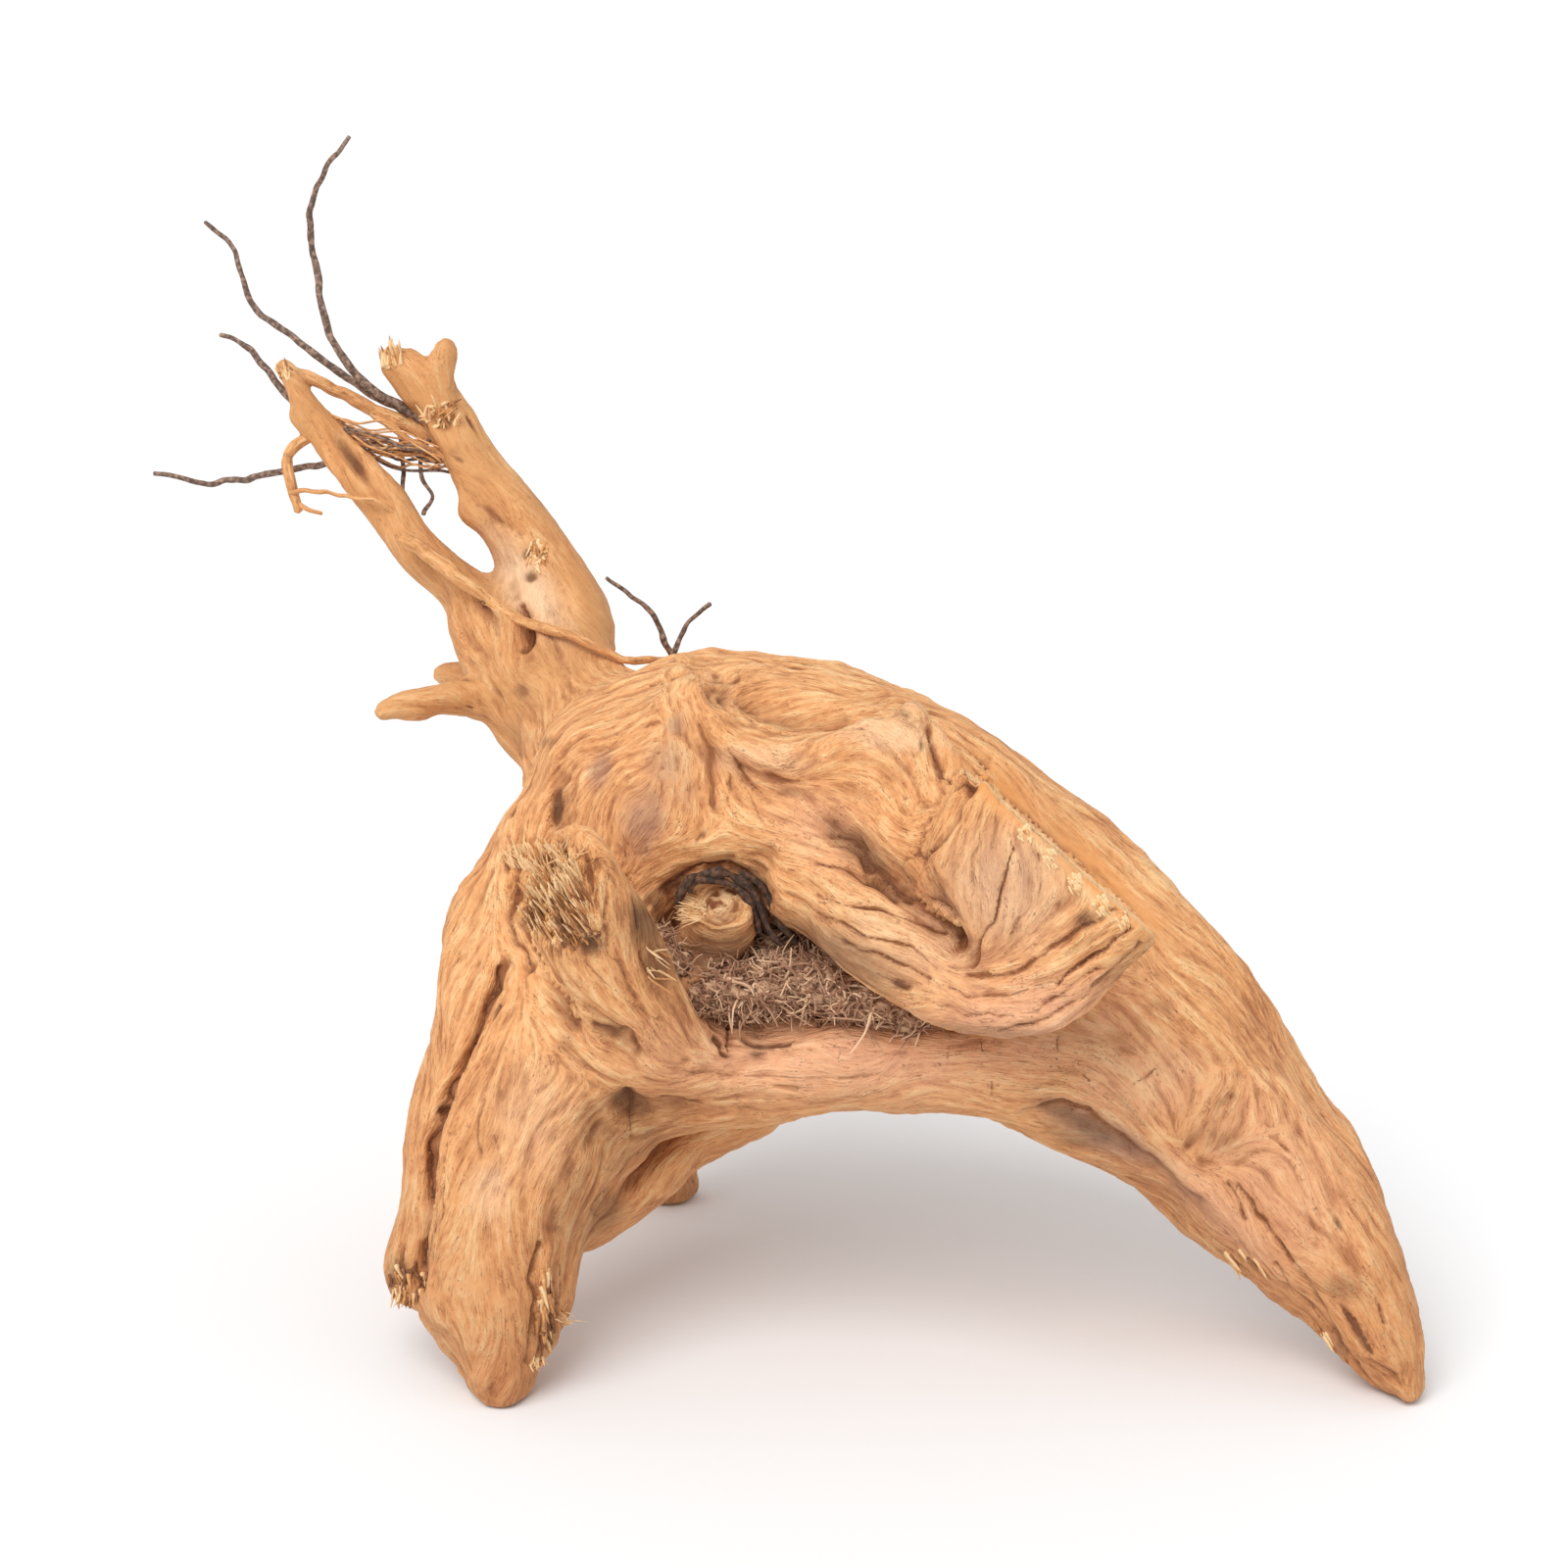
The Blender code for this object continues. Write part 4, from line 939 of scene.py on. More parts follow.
@dataclass
class WoodSkin:
    """The weathered surface of the whole stump, from the CAD node to carved and coloured mesh."""

    voxel_mm: float = 1.05
    opening_mm: float = 1.0
    relax_rounds: int = 8
    ridge_mm: float = 0.22
    rib_mm: float = 0.22
    fibre_mm: float = 0.2
    bump_mm: float = 0.55
    check_mm: float = 1.0
    triangles: int = 195000
    quiet_foot_mm: float = 3.0
    neck_way: tuple[float, float, float] = (-0.6, 0.5, 0.6)
    neck_start_mm: float = 166.0
    stroke_wander: float = 2.4
    stroke_margin: float = 40.0
    step_edge_mm: float = 0.8
    step_reach_mm: float = 7.0
    smear_step_mm: float = 1.1
    saw_point: tuple[float, float, float] = (81.0, -86.0, 177.0)
    saw_normal: tuple[float, float, float] = (0.66, 0.20, 0.72)
    saw_reach_mm: float = 60.0
    # rounds and gains of the painted shade in hollows and crevices
    hollow_rounds: int = 40
    hollow_gain: float = 1.2
    crevice_shade_rounds: int = 10
    crevice_shade_gain: float = 2.2
    grain: GrainField = field(default_factory=GrainField)
    points: Array = field(init=False)
    faces: Array = field(init=False)

    def base(self) -> None:
        """Reads the CAD node's surface again on a fine grid.

        It is shrunk and swollen by the same amount, which drops the thin roots that are pieces of their own.
        """
        points, triangles = node_triangles("driftwood")
        for offset in (-self.opening_mm, self.opening_mm):
            points, quads = level_set(points, triangles, self.voxel_mm).convertToQuads(offset)
            triangles = np.vstack([quads[:, [0, 1, 2]], quads[:, [0, 2, 3]]])
        quads = quads[:, ::-1]
        kept = self.largest(len(points), quads)
        number = np.cumsum(kept) - 1
        self.faces = number[quads[kept[quads[:, 0]]]]
        self.points = relax(points[kept].astype(float), self.faces, self.relax_rounds, 0.5)
        outward = point_normals(self.points, self.faces)
        if (self.points * outward).sum() < 0:
            self.faces = self.faces[:, ::-1]

    @staticmethod
    def largest(count: int, faces: Array) -> Array:
        """Marks the points of the largest island: touching labels join at the lower one.

        Args:
            count: Number of points.
            faces: Corner numbers, (m, 4).

        Returns:
            True for the island's points, (count,).
        """
        label = np.arange(count)
        while True:
            corners = label[faces]
            low = corners.min(1)
            if (corners == low[:, None]).all():
                return label == np.bincount(label).argmax()
            np.minimum.at(label, corners.ravel(), np.repeat(low, faces.shape[1]))
            while (label[label] != label).any():
                label = label[label]

    @staticmethod
    def places_at(points: Array, pixels: Array, seen: Array, route: tuple[tuple[int, int], ...]) -> Array:
        """Gives the seen point of the skin nearest to each of a route's pixels.

        Args:
            points: The skin's points.
            pixels: Their pixels.
            seen: Whether the camera sees them.
            route: The route's pixels.

        Returns:
            Places, (k, 3).
        """
        found = np.flatnonzero(seen)
        nearest = [found[((pixels[found] - np.array(place)) ** 2).sum(1).argmin()] for place in route]
        return points[nearest]

    def pull(self) -> None:
        """Moves the skin's outline by every pull, less and less with the distance from its centre."""
        pixels, _ = VIEW.project(self.points)
        seen = VIEW.seen(self.points, point_normals(self.points, self.faces))
        centres = self.places_at(self.points, pixels, seen, tuple(pull.pixel for pull in PULLS))
        for pull, centre in zip(PULLS, centres):
            offset = self.points - centre
            share = np.exp(-(offset**2).sum(1) / pull.radius_mm**2)[:, None]
            self.points = self.points + share * (np.array(pull.move_mm) - pull.gather * offset)

    def lay_patches(self, pixels: Array, seen: Array) -> tuple[dict[str, Array], Array]:
        """Lays every patch on the points that the camera sees, as a soft oval.

        Args:
            pixels: Each point's pixel, (n, 2).
            seen: Whether the camera sees it.

        Returns:
            A strength from 0 for each kind of patch, and the height that the patches add, in millimetres.
        """
        strengths = {stain_and_shade.value: np.zeros(len(pixels)) for stain_and_shade in StainAndShade}
        height = np.zeros(len(pixels))
        for patch in PATCHES:
            turn = math.radians(patch.turn_deg)
            offset = pixels - np.array(patch.centre)
            across = (offset[:, 0] * math.cos(turn) + offset[:, 1] * math.sin(turn)) / patch.half_axes[0]
            upright = (offset[:, 1] * math.cos(turn) - offset[:, 0] * math.sin(turn)) / patch.half_axes[1]
            share = np.exp(-(across**2 + upright**2) ** 1.5) * seen
            height += patch.height_mm * share
            strengths[patch.stain_and_shade.value] = np.maximum(strengths[patch.stain_and_shade.value], patch.strength * share)
        return strengths, height

    def draw(self, points: Array, pixels: Array, seen: Array) -> dict[str, Array]:
        """Draws every stroke: a groove or rib in the relief, and a thin dark line along its middle, which is a
        crack, and painted shade where the groove is a deep crevice.

        The dark line is kept as the distance to the stroke's route, with a sign for its side, so that the
        material draws it sharp, and as a strength that fades away from the route.

        Args:
            points: The skin's points.
            pixels: Their pixels.
            seen: Whether the camera sees them.

        Returns:
            Height in millimetres, and the dark line's side and strength.
        """
        per_mm = VIEW.pixels * VIEW.lens_mm / VIEW.sensor_mm / VIEW.distance_mm
        wander = np.stack([soft_noise(points, 5, 70), soft_noise(points, 5, 71)], 1)
        places = pixels + self.stroke_wander * wander
        uneven = np.clip(0.8 + 0.5 * soft_noise(points, 9, 72), 0.2, 1.4)
        height = np.zeros(len(points))
        side = np.full(len(points), 9.0)
        strength = np.zeros(len(points))
        for stroke in STROKES:
            route = np.array(stroke.route, float)
            middle = (route.min(0) + route.max(0)) / 2
            reach = np.ptp(route, axis=0) / 2 + self.stroke_margin
            near = seen & (np.abs(places - middle) < reach).all(1)
            found = np.flatnonzero(near)
            distance, across, beyond = side_of_route(places[found], route)
            distance, across = distance / per_mm, across / per_mm
            groove = stroke.height_mm * uneven[found] * np.exp(-((distance / stroke.half_width_mm) ** 2))
            fade = np.exp(-((distance / self.step_reach_mm) ** 2))
            step = stroke.step_mm * np.tanh(across / self.step_edge_mm) * fade
            height[found] += groove + step
            weight = stroke.dark * np.clip(1.6 - distance / 1.4, 0, 1) * np.clip(1 - beyond / 3, 0, 1)
            better = weight > strength[found]
            side[found[better]] = (across / (0.5 + 0.5 * stroke.half_width_mm))[better]
            strength[found[better]] = weight[better]
        return {"height": height, "side": side, "strength": strength}

    def carve(self) -> dict[str, Array]:
        """Raises and cuts the relief along the grain, and says how each point is weathered and where shade and
        highlight are painted on it.

        Returns:
            Attributes of the points for the wood's material.
        """
        self.pull()
        points, faces = self.points, self.faces
        normals = point_normals(points, faces)
        pixels, _ = VIEW.project(points)
        seen = VIEW.seen(points, normals)
        self.grain.build(points, [
            self.places_at(points, pixels, seen, stroke.route) for stroke in STROKES if stroke.guides()])
        way = self.grain.at(points)
        way = unit(way - (way * normals).sum(1)[:, None] * normals)
        streak = self.grain.smear(points, STREAKS, self.smear_step_mm)
        stains_and_shade, rise = self.lay_patches(pixels, seen)
        saw_point = to_row(np.array(self.saw_point))
        saw_normal = unit(np.array(self.saw_normal))
        sawn = (np.abs((points - saw_point) @ saw_normal) < 1.5) & (normals @ saw_normal > 0.85)
        sawn &= np.linalg.norm(points - saw_point, axis=1) < self.saw_reach_mm
        stains_and_shade["fresh"] = np.maximum(stains_and_shade["fresh"], 0.8 * sawn)
        upward = (points - SOURCE_TO_ROW) @ np.array(self.neck_way)
        bare = np.clip((upward - self.neck_start_mm) / 24, 0, 1)
        stains_and_shade["bare"] = bare * np.clip(0.85 + 0.3 * soft_noise(points, 16, 64), 0, 1)
        calm = np.clip(1 - 0.85 * stains_and_shade["smooth"] - 0.85 * stains_and_shade["fresh"] - 0.4 * stains_and_shade["bare"], 0.05, 1)
        lively = 0.55 + 0.45 * np.clip(0.6 + 0.6 * soft_noise(points, 34, 63), 0, 1)
        sizes = {"ridge": self.ridge_mm, "rib": self.rib_mm, "fibre": self.fibre_mm}
        height = sum(size * streak[name] for name, size in sizes.items()) * lively
        height += self.bump_mm * (soft_noise(points, 24, 60) + 0.55 * soft_noise(points, 11, 61))
        split = np.clip((-streak["check"] - 1.7) / 0.7, 0, 1) * (soft_noise(points, 26, 62) > 0.35)
        height -= self.check_mm * split
        height *= calm
        height += stains_and_shade["torn"] * (1.5 * np.clip(streak["rib"], -1.6, 1.2) + 0.7 * streak["fibre"] - 0.8)
        drawn = self.draw(points, pixels, seen)
        height += drawn["height"] + rise
        height *= np.clip((points[:, 2] - 0.3) / self.quiet_foot_mm, 0, 1)
        # painted shade: how deep each point lies in the hollows, and below how deep in fine crevices; both
        # darken its colour in the material
        hollow = ((relax(points, faces, self.hollow_rounds, 0.6) - points) * normals).sum(1)
        self.points = points + normals * height[:, None]
        eased = relax(self.points, faces, self.crevice_shade_rounds, 0.5)
        crevice_shade = ((eased - self.points) * point_normals(eased, faces)).sum(1)
        low, high = (np.array(corner) / MM for corner in CAD_BOX)
        self.points = np.clip(self.points, low, high)
        return {
            "grain": way, "ridge": streak["ridge"], "rib": streak["rib"], "fibre": streak["fibre"],
            "split": split, "side": drawn["side"], "strength": drawn["strength"],
            "hollow": np.clip(hollow * self.hollow_gain, -1, 1.5),
            "crevice_shade": np.clip(crevice_shade * self.crevice_shade_gain, -1, 1.5), **stains_and_shade}

    def thin_out(self, made: bpy.types.Object) -> None:
        """Collapses edges where the skin is flattest, and keeps the points' attributes.

        Args:
            made: The skin's object.
        """
        modifier = made.modifiers.new("thin_out", "DECIMATE")
        modifier.ratio = min(1.0, self.triangles / (2 * len(made.data.polygons)))
        bpy.context.view_layer.update()
        thinned = bpy.data.meshes.new_from_object(made.evaluated_get(bpy.context.evaluated_depsgraph_get()))
        made.modifiers.clear()
        made.data = thinned
        made.data.name = made.name

    def build(self) -> bpy.types.Object:
        """Makes the skin, which stands for the CAD node.

        Returns:
            The new object.
        """
        self.base()
        log.info("wood skin: %d points", len(self.points))
        values = self.carve()
        made = make_object("weathered_wood", self.points, self.faces, values)
        self.thin_out(made)
        made.data.materials.append(WeatheredWood().material())
        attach(made, ROOT)
        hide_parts("driftwood")
        log.info("weathered_wood: %d triangles", len(made.data.polygons))
        return made


@dataclass(frozen=True)
class WeatheredWood:
    """Root wood that water has worn and sun has dried.

    It is dull and tan, with fine fibres, paler and redder streaks, thin dark cracks, and painted shade in its
    hollows, creases and undersides.
    """

    light: str = "F3C992"
    mid: str = "E1A168"
    deep: str = "B06C3E"
    # dark lines: cracks, and painted shade down deep grooves and crevices
    crack: str = "5F3319"
    # painted shade for hollows and crevices; the grain's open pores take this colour too
    hollow: str = "945B34"
    # grey weathering, and painted shade under the right leg
    grey: str = "967264"
    # paler wood, and a painted highlight on the brow's crest
    pale: str = "F4D3AE"
    pink: str = "E4AD8E"
    soil: str = "6E4C36"
    # painted shade in hollows, holes, creases and undersides
    dark: str = "5E3C22"
    smooth: str = "DB9452"
    fresh: str = "EBC796"
    foot: str = "A0633A"
    bare: str = "BE8752"
    torn_gap: str = "4E2D16"
    torn_mid: str = "D2924F"
    torn_light: str = "F4D29C"
    fibre_mm: float = 0.55
    streak_mm: float = 1.8
    crack_mm: float = 1.0
    jitter_mm: float = 1.6
    patch_mm: float = 8.0
    cloud_mm: float = 38.0
    roughness: float = 0.8
    relief_mm: float = 0.6
    contrast: float = 3.6

    def streaks(self, tree: bpy.types.NodeTree, size_mm: float, step_mm: float, count: int,
                detail: float) -> Socket:
        """Noise read at steps along the grain attribute and averaged, which draws fibres.

        Where the grain turns over between two points its length falls, and the streaks fade out.

        Args:
            tree: The material's tree.
            size_mm: Size of the noise.
            step_mm: Distance between two readings.
            count: Number of readings.
            detail: How many finer layers the noise has.

        Returns:
            A socket with values round 0.5.
        """
        place = add_node(tree, "TexCoord", out="Object")
        grain = add_node(tree, "Attribute", out="Vector", attribute_name="grain")
        total = 0.0
        for i in range(count):
            shift = (i - (count - 1) / 2) * step_mm * MM
            shift = (shift, shift, shift)
            moved = add_node(tree, "VectorMath", grain, shift, place, operation="MULTIPLY_ADD")
            noise = add_node(tree, "TexNoise", moved, inputs={"Scale": 1 / (size_mm * MM), "Detail": detail})
            total = add_node(tree, "Math", total, noise, operation="ADD")
        gains = (self.contrast / count, -0.5 * self.contrast)
        centred = add_node(tree, "Math", total, *gains, operation="MULTIPLY_ADD")
        sure = add_node(tree, "VectorMath", grain, grain, out="Value", operation="DOT_PRODUCT")
        return add_node(tree, "Math", centred, sure, 0.5, operation="MULTIPLY_ADD")

    @staticmethod
    def line(tree: bpy.types.NodeTree, value: Socket, middle: float, widths: tuple[float, float],
             strength: Socket) -> Socket:
        """Draws a thin line where a value crosses its middle, as strong as strength says.

        Args:
            tree: The material's tree.
            value: What is followed.
            middle: The value on the line.
            widths: How far from the middle the line is whole, and where it ends.
            strength: How strong the line is.

        Returns:
            A socket from 0 to 1.
        """
        centred = add_node(tree, "Math", value, middle, operation="SUBTRACT")
        away = add_node(tree, "Math", centred, operation="ABSOLUTE")
        near = add_node(tree, "MapRange", away, *widths, 1.0, 0.0, interpolation_type="SMOOTHSTEP")
        return add_node(tree, "Math", near, strength, operation="MULTIPLY", use_clamp=True)

    def cracks(self, tree: bpy.types.NodeTree, read: dict[str, Socket], patchy: Socket,
               calm: Socket) -> Socket:
        """Draws the dark lines: hair cracks along the grain, the strokes' cracks and painted shade broken up,
        and the splits.

        Args:
            tree: The material's tree.
            read: The skin's attributes.
            patchy: Noise that says where hair lines are.
            calm: 1 where the wood is lively, and 0 where it is worn smooth.

        Returns:
            A socket from 0 to 1.
        """
        hair = self.streaks(tree, self.crack_mm, 0.6, 7, 0.0)
        gate = add_node(tree, "MapRange", patchy, 0.44, 0.6, 0.0, 0.6)
        hair = self.line(tree, hair, 0.36, (0.01, 0.05), gate)
        lines = add_node(tree, "Math", hair, calm, operation="MULTIPLY")
        place = add_node(tree, "TexCoord", out="Object")
        uneven = add_node(tree, "TexNoise", place, inputs={"Scale": 1 / (self.jitter_mm * MM), "Detail": 1.0})
        strength = read["strength"]
        whole = add_node(tree, "Math", strength, 3.0, -2.2, operation="MULTIPLY_ADD", use_clamp=True)
        broken = add_node(tree, "MapRange", uneven, 0.42, 0.56)
        broken = add_node(tree, "Math", broken, whole, operation="MAXIMUM")
        strength = add_node(tree, "Math", strength, broken, operation="MULTIPLY")
        side = add_node(tree, "Math", read["side"], -0.55, operation="ADD")
        side = add_node(tree, "Math", uneven, 1.1, side, operation="MULTIPLY_ADD")
        drawn = self.line(tree, side, 0.0, (0.06, 0.42), strength)
        splits = add_node(tree, "Math", read["split"], 0.8, operation="MULTIPLY")
        for more in (drawn, splits):
            lines = add_node(tree, "Math", lines, more, operation="MAXIMUM")
        return lines

    def material(self) -> bpy.types.Material:
        """Builds the material from the skin's attributes.

        Returns:
            The new material.
        """
        material = new_material("weathered_root_wood", self.roughness)
        tree = material.node_tree
        names = ("ridge", "rib", "fibre", "split", "side", "strength", "hollow", "crevice_shade")
        names = (*names, *(stain_and_shade.value for stain_and_shade in StainAndShade))
        read = {name: add_node(tree, "Attribute", out="Fac", attribute_name=name) for name in names}
        place = add_node(tree, "TexCoord", out="Object")
        fine = self.streaks(tree, self.fibre_mm, 0.36, 10, 1.0)
        broad = self.streaks(tree, self.streak_mm, 1.0, 7, 0.0)
        patchy, wide = (
            add_node(tree, "TexNoise", place, inputs={"Scale": 1 / (size_mm * MM), "Detail": detail})
            for size_mm, detail in ((self.patch_mm, 3.0), (self.cloud_mm, 2.0)))
        tone = add_node(tree, "Math", broad, 0.34, operation="MULTIPLY")
        for socket, share in (
                (fine, 0.5), (read["ridge"], 0.03), (read["rib"], 0.045), (read["fibre"], 0.03), (wide, 0.5)):
            tone = add_node(tree, "Math", socket, share, tone, operation="MULTIPLY_ADD")
        tone = add_node(tree, "Math", tone, -0.17, operation="ADD")
        stops = ((0.14, self.deep), (0.5, self.mid), (0.86, self.light))
        colour = add_node(tree, "ValToRGB", tone, stops=stops)
        torn = add_node(tree, "Math", read["rib"], 0.2, fine, operation="MULTIPLY_ADD")
        stops = ((0.2, self.torn_gap), (0.52, self.torn_mid), (0.85, self.torn_light))
        torn = add_node(tree, "ValToRGB", torn, stops=stops)
        low = add_node(tree, "SeparateXYZ", place, out="Z")
        foot = add_node(tree, "MapRange", low, 0.005, 0.11, 0.7, 0.0)
        calm = add_node(tree, "Math", 1.0, read["smooth"], operation="SUBTRACT", use_clamp=True)
        calm = add_node(tree, "Math", read["bare"], -0.35, calm, operation="MULTIPLY_ADD", use_clamp=True)
        pores = add_node(tree, "MapRange", fine, 0.34, 0.05, 0.0, 0.55)
        open_pores = add_node(tree, "Math", calm, 0.75, 0.25, operation="MULTIPLY_ADD")
        pores = add_node(tree, "Math", pores, open_pores, operation="MULTIPLY")
        # these mixes paint shade in hollows, crevices, holes and undersides and a highlight on the brow's
        # crest, besides the wood's own marks and wear
        for share, gain, other in (
                (read["torn"], 1.0, torn), (foot, 0.7, self.foot), (read["hollow"], 0.5, self.hollow),
                (read["smooth"], 0.95, self.smooth), (read["bare"], 0.65, self.bare),
                (read["pink"], 0.6, self.pink), (read["grey"], 0.75, self.grey),
                (read["pale"], 0.7, self.pale), (read["fresh"], 0.75, self.fresh),
                (read["crevice_shade"], 0.8, self.hollow), (read["soil"], 0.9, self.soil),
                (read["dark"], 0.85, self.dark), (pores, 0.0, self.hollow),
                (self.cracks(tree, read, patchy, calm), 0.0, self.crack)):
            spread = 1.0
            if gain:
                spread = add_node(tree, "Math", patchy, 0.9 * gain, 0.55 * gain, operation="MULTIPLY_ADD")
            share = add_node(tree, "Math", share, spread, operation="MULTIPLY", use_clamp=True)
            other = hex_to_linear(other) if isinstance(other, str) else other
            colour = add_node(tree, "Mix", out=2, inputs={0: share, 6: colour, 7: other}, data_type="RGBA")
        height = add_node(tree, "Math", broad, 0.6, operation="MULTIPLY")
        height = add_node(tree, "Math", fine, 0.75, height, operation="MULTIPLY_ADD")
        lively = add_node(tree, "Math", calm, 0.8, 0.2, operation="MULTIPLY_ADD")
        height = add_node(tree, "Math", height, lively, operation="MULTIPLY")
        return paint(material, colour, height, self.relief_mm)


@dataclass
class Bundle:
    """Points, faces and attributes of many small tubes that make up one piece."""

    points: list[Array] = field(default_factory=list)
    faces: list[Array] = field(default_factory=list)
    values: dict[str, list[Array]] = field(default_factory=dict)
    count: int = 0

    def add(self, points: Array, faces: Array, **values: Array) -> None:
        """Adds one more mesh, with its attributes.

        Args:
            points: Millimetres, (n, 3).
            faces: Corner numbers, (m, 3) or (m, 4).
            values: Attributes of the points by name.
        """
        self.points.append(points)
        self.faces.append(faces + self.count)
        self.count += len(points)
        for name, data in values.items():
            self.values.setdefault(name, []).append(data)

    def make(self, name: str, material: bpy.types.Material, slot: str) -> bpy.types.Object:
        """Makes the piece, which rides on the root body.

        Args:
            name: The piece's name.
            material: Its material.
            slot: Not used.

        Returns:
            The new object.
        """
        low, high = (np.array(corner) / MM for corner in CAD_BOX)
        points = np.clip(np.vstack(self.points), low, high)
        values = {key: np.concatenate(data) for key, data in self.values.items()}
        made = make_object(name, points, np.vstack(self.faces), values)
        made.data.materials.append(material)
        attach(made, ROOT)
        log.info("%s: %d triangles", name, len(made.data.polygons))
        return made


def tubes(centres: Array, radii: Array, sides: int) -> tuple[Array, Array, Array]:
    """Sweeps a ring along each of many routes of equal length, and closes both ends with a low cone.

    Args:
        centres: Points of the routes, (n, rows, 3).
        radii: Their radii, (n, rows).
        sides: Points of a ring.

    Returns:
        Points, triangles, and the way along the route at each point.
    """
    count, rows = radii.shape
    along = unit(np.gradient(centres, axis=1))
    out = unit(np.cross(along, (0.3, 0.2, 0.93)))
    turn = (np.arange(sides) * 2 * math.pi / sides)[:, None]
    ring = out[:, :, None] * np.cos(turn) + np.cross(along, out)[:, :, None] * np.sin(turn)
    rings = (centres[:, :, None] + ring * radii[:, :, None, None]).reshape(count, rows * sides, 3)
    ends = centres[:, [0, -1]] + along[:, [0, -1]] * radii[:, [0, -1], None] * np.array((-0.5, 0.5))[:, None]
    points = np.concatenate([rings, ends], axis=1)
    ways = np.concatenate([np.repeat(along, sides, axis=1), along[:, [0, -1]]], axis=1)
    i = np.arange(sides)
    j = (i + 1) % sides
    first = (np.arange(rows - 1) * sides)[:, None]
    last = (rows - 1) * sides
    faces = np.vstack([
        np.stack([first + i, first + j, first + sides + j], 2).reshape(-1, 3),
        np.stack([first + i, first + sides + j, first + sides + i], 2).reshape(-1, 3),
        np.stack([np.full(sides, rows * sides), j, i], 1),
        np.stack([np.full(sides, rows * sides + 1), last + i, last + j], 1)])
    size = rows * sides + 2
    faces = (faces[None] + (np.arange(count) * size)[:, None, None]).reshape(-1, 3)
    return points.reshape(-1, 3), faces, ways.reshape(-1, 3)


@dataclass
class ThinRoots:
    """The twigs and fine dark roots that stand out of the stump, on the routes of the CAD's tubes."""

    sides: int = 10
    pieces: int = 14
    kink_mm: float = 0.35
    seed: int = 5
    strands: int = 30
    strand_rows: int = 40
    strand_sides: int = 6
    strand_start: tuple[float, ...] = (-160, 136, 268)
    strand_end: tuple[float, ...] = (-117, 128, 254)

    def add_route(self, bundle: Bundle, route: Route, seed: int, gnarl: float = 0.09) -> None:
        """Adds a tube whose middle wanders a little and whose radius swells at nodules.

        Args:
            bundle: The piece it goes into.
            route: Points with their radius, in the source's frame.
            seed: Which noise it wanders by.
            gnarl: How much the radius swells.
        """
        path = smooth_route(np.array(route, float), self.pieces)
        centres = to_row(path[:, :3])
        for axis in range(3):
            centres[:, axis] += self.kink_mm * soft_noise(path[:, :3], 4.5, seed + axis)
        swell = 1 + gnarl * soft_noise(path[:, :3], 3.4, seed + 3)
        points, faces, ways = tubes(centres[None], (path[:, 3] * swell)[None], self.sides)
        bundle.add(points, faces, grain=ways)

    def build(self) -> None:
        """Makes the three pieces."""
        twigs, roots, rings = Bundle(), Bundle(), Bundle()
        for seed, route in enumerate(TWIGS.values()):
            self.add_route(twigs, route, 10 * seed)
        for seed, route in enumerate(DARK_ROOTS.values()):
            self.add_route(roots, route, 200 + 10 * seed)
        for seed, route in enumerate(STUB_SHADE_RINGS.values()):
            self.add_route(rings, route, 400 + 10 * seed, 0.34)
        rng = np.random.default_rng(self.seed)
        share = np.linspace(0, 1, self.strand_rows)[None, :, None]
        start = np.array(self.strand_start) + rng.normal(0, 1.6, (self.strands, 1, 3))
        end = np.array(self.strand_end) + rng.normal(0, 2.2, (self.strands, 1, 3))
        bulge = np.sin(math.pi * share)
        sideways = rng.normal(0, 3.4, (self.strands, 1, 3)) - np.array((0, 0, 3.0))
        waves = rng.uniform(2, 5, (self.strands, 1, 1))
        ripple = np.sin(math.pi * share * waves + rng.uniform(0, 6, (self.strands, 1, 3)))
        centres = start + (end - start) * share + bulge * (sideways + 1.4 * ripple)
        radii = rng.uniform(0.25, 0.6, (self.strands, 1)) * np.ones((1, self.strand_rows))
        for first, bundle in enumerate((twigs, twigs, roots)):
            part = slice(first, None, 3)
            points, faces, ways = tubes(to_row(centres[part]), radii[part], self.strand_sides)
            bundle.add(points, faces, grain=ways)
        twig_wood = WeatheredWood(light="F2C893", mid="DDA066", deep="B07244")
        twigs.make("pale_twigs", twig_wood.material(), "wood")
        roots.make("dark_roots", RootBark().material(), "wood")
        # the stub's rings are painted shade in its crevice, made with the roots' material in near-black
        rings.make("stub_shade_rings", RootBark(bark="2E1D13", flaked="6E4C36").material(), "wood")


@dataclass(frozen=True)
class Tuft:
    """Torn fibres that stand out of the wood in an oval of the picture."""

    centre: tuple[int, int]
    half_axes: tuple[float, float]
    count: int
    way: tuple[float, float, float]
    spread: float
    lengths_mm: tuple[float, float]
    radii_mm: tuple[float, float]
    curl: float = 0.22
    tone: float = 0.0


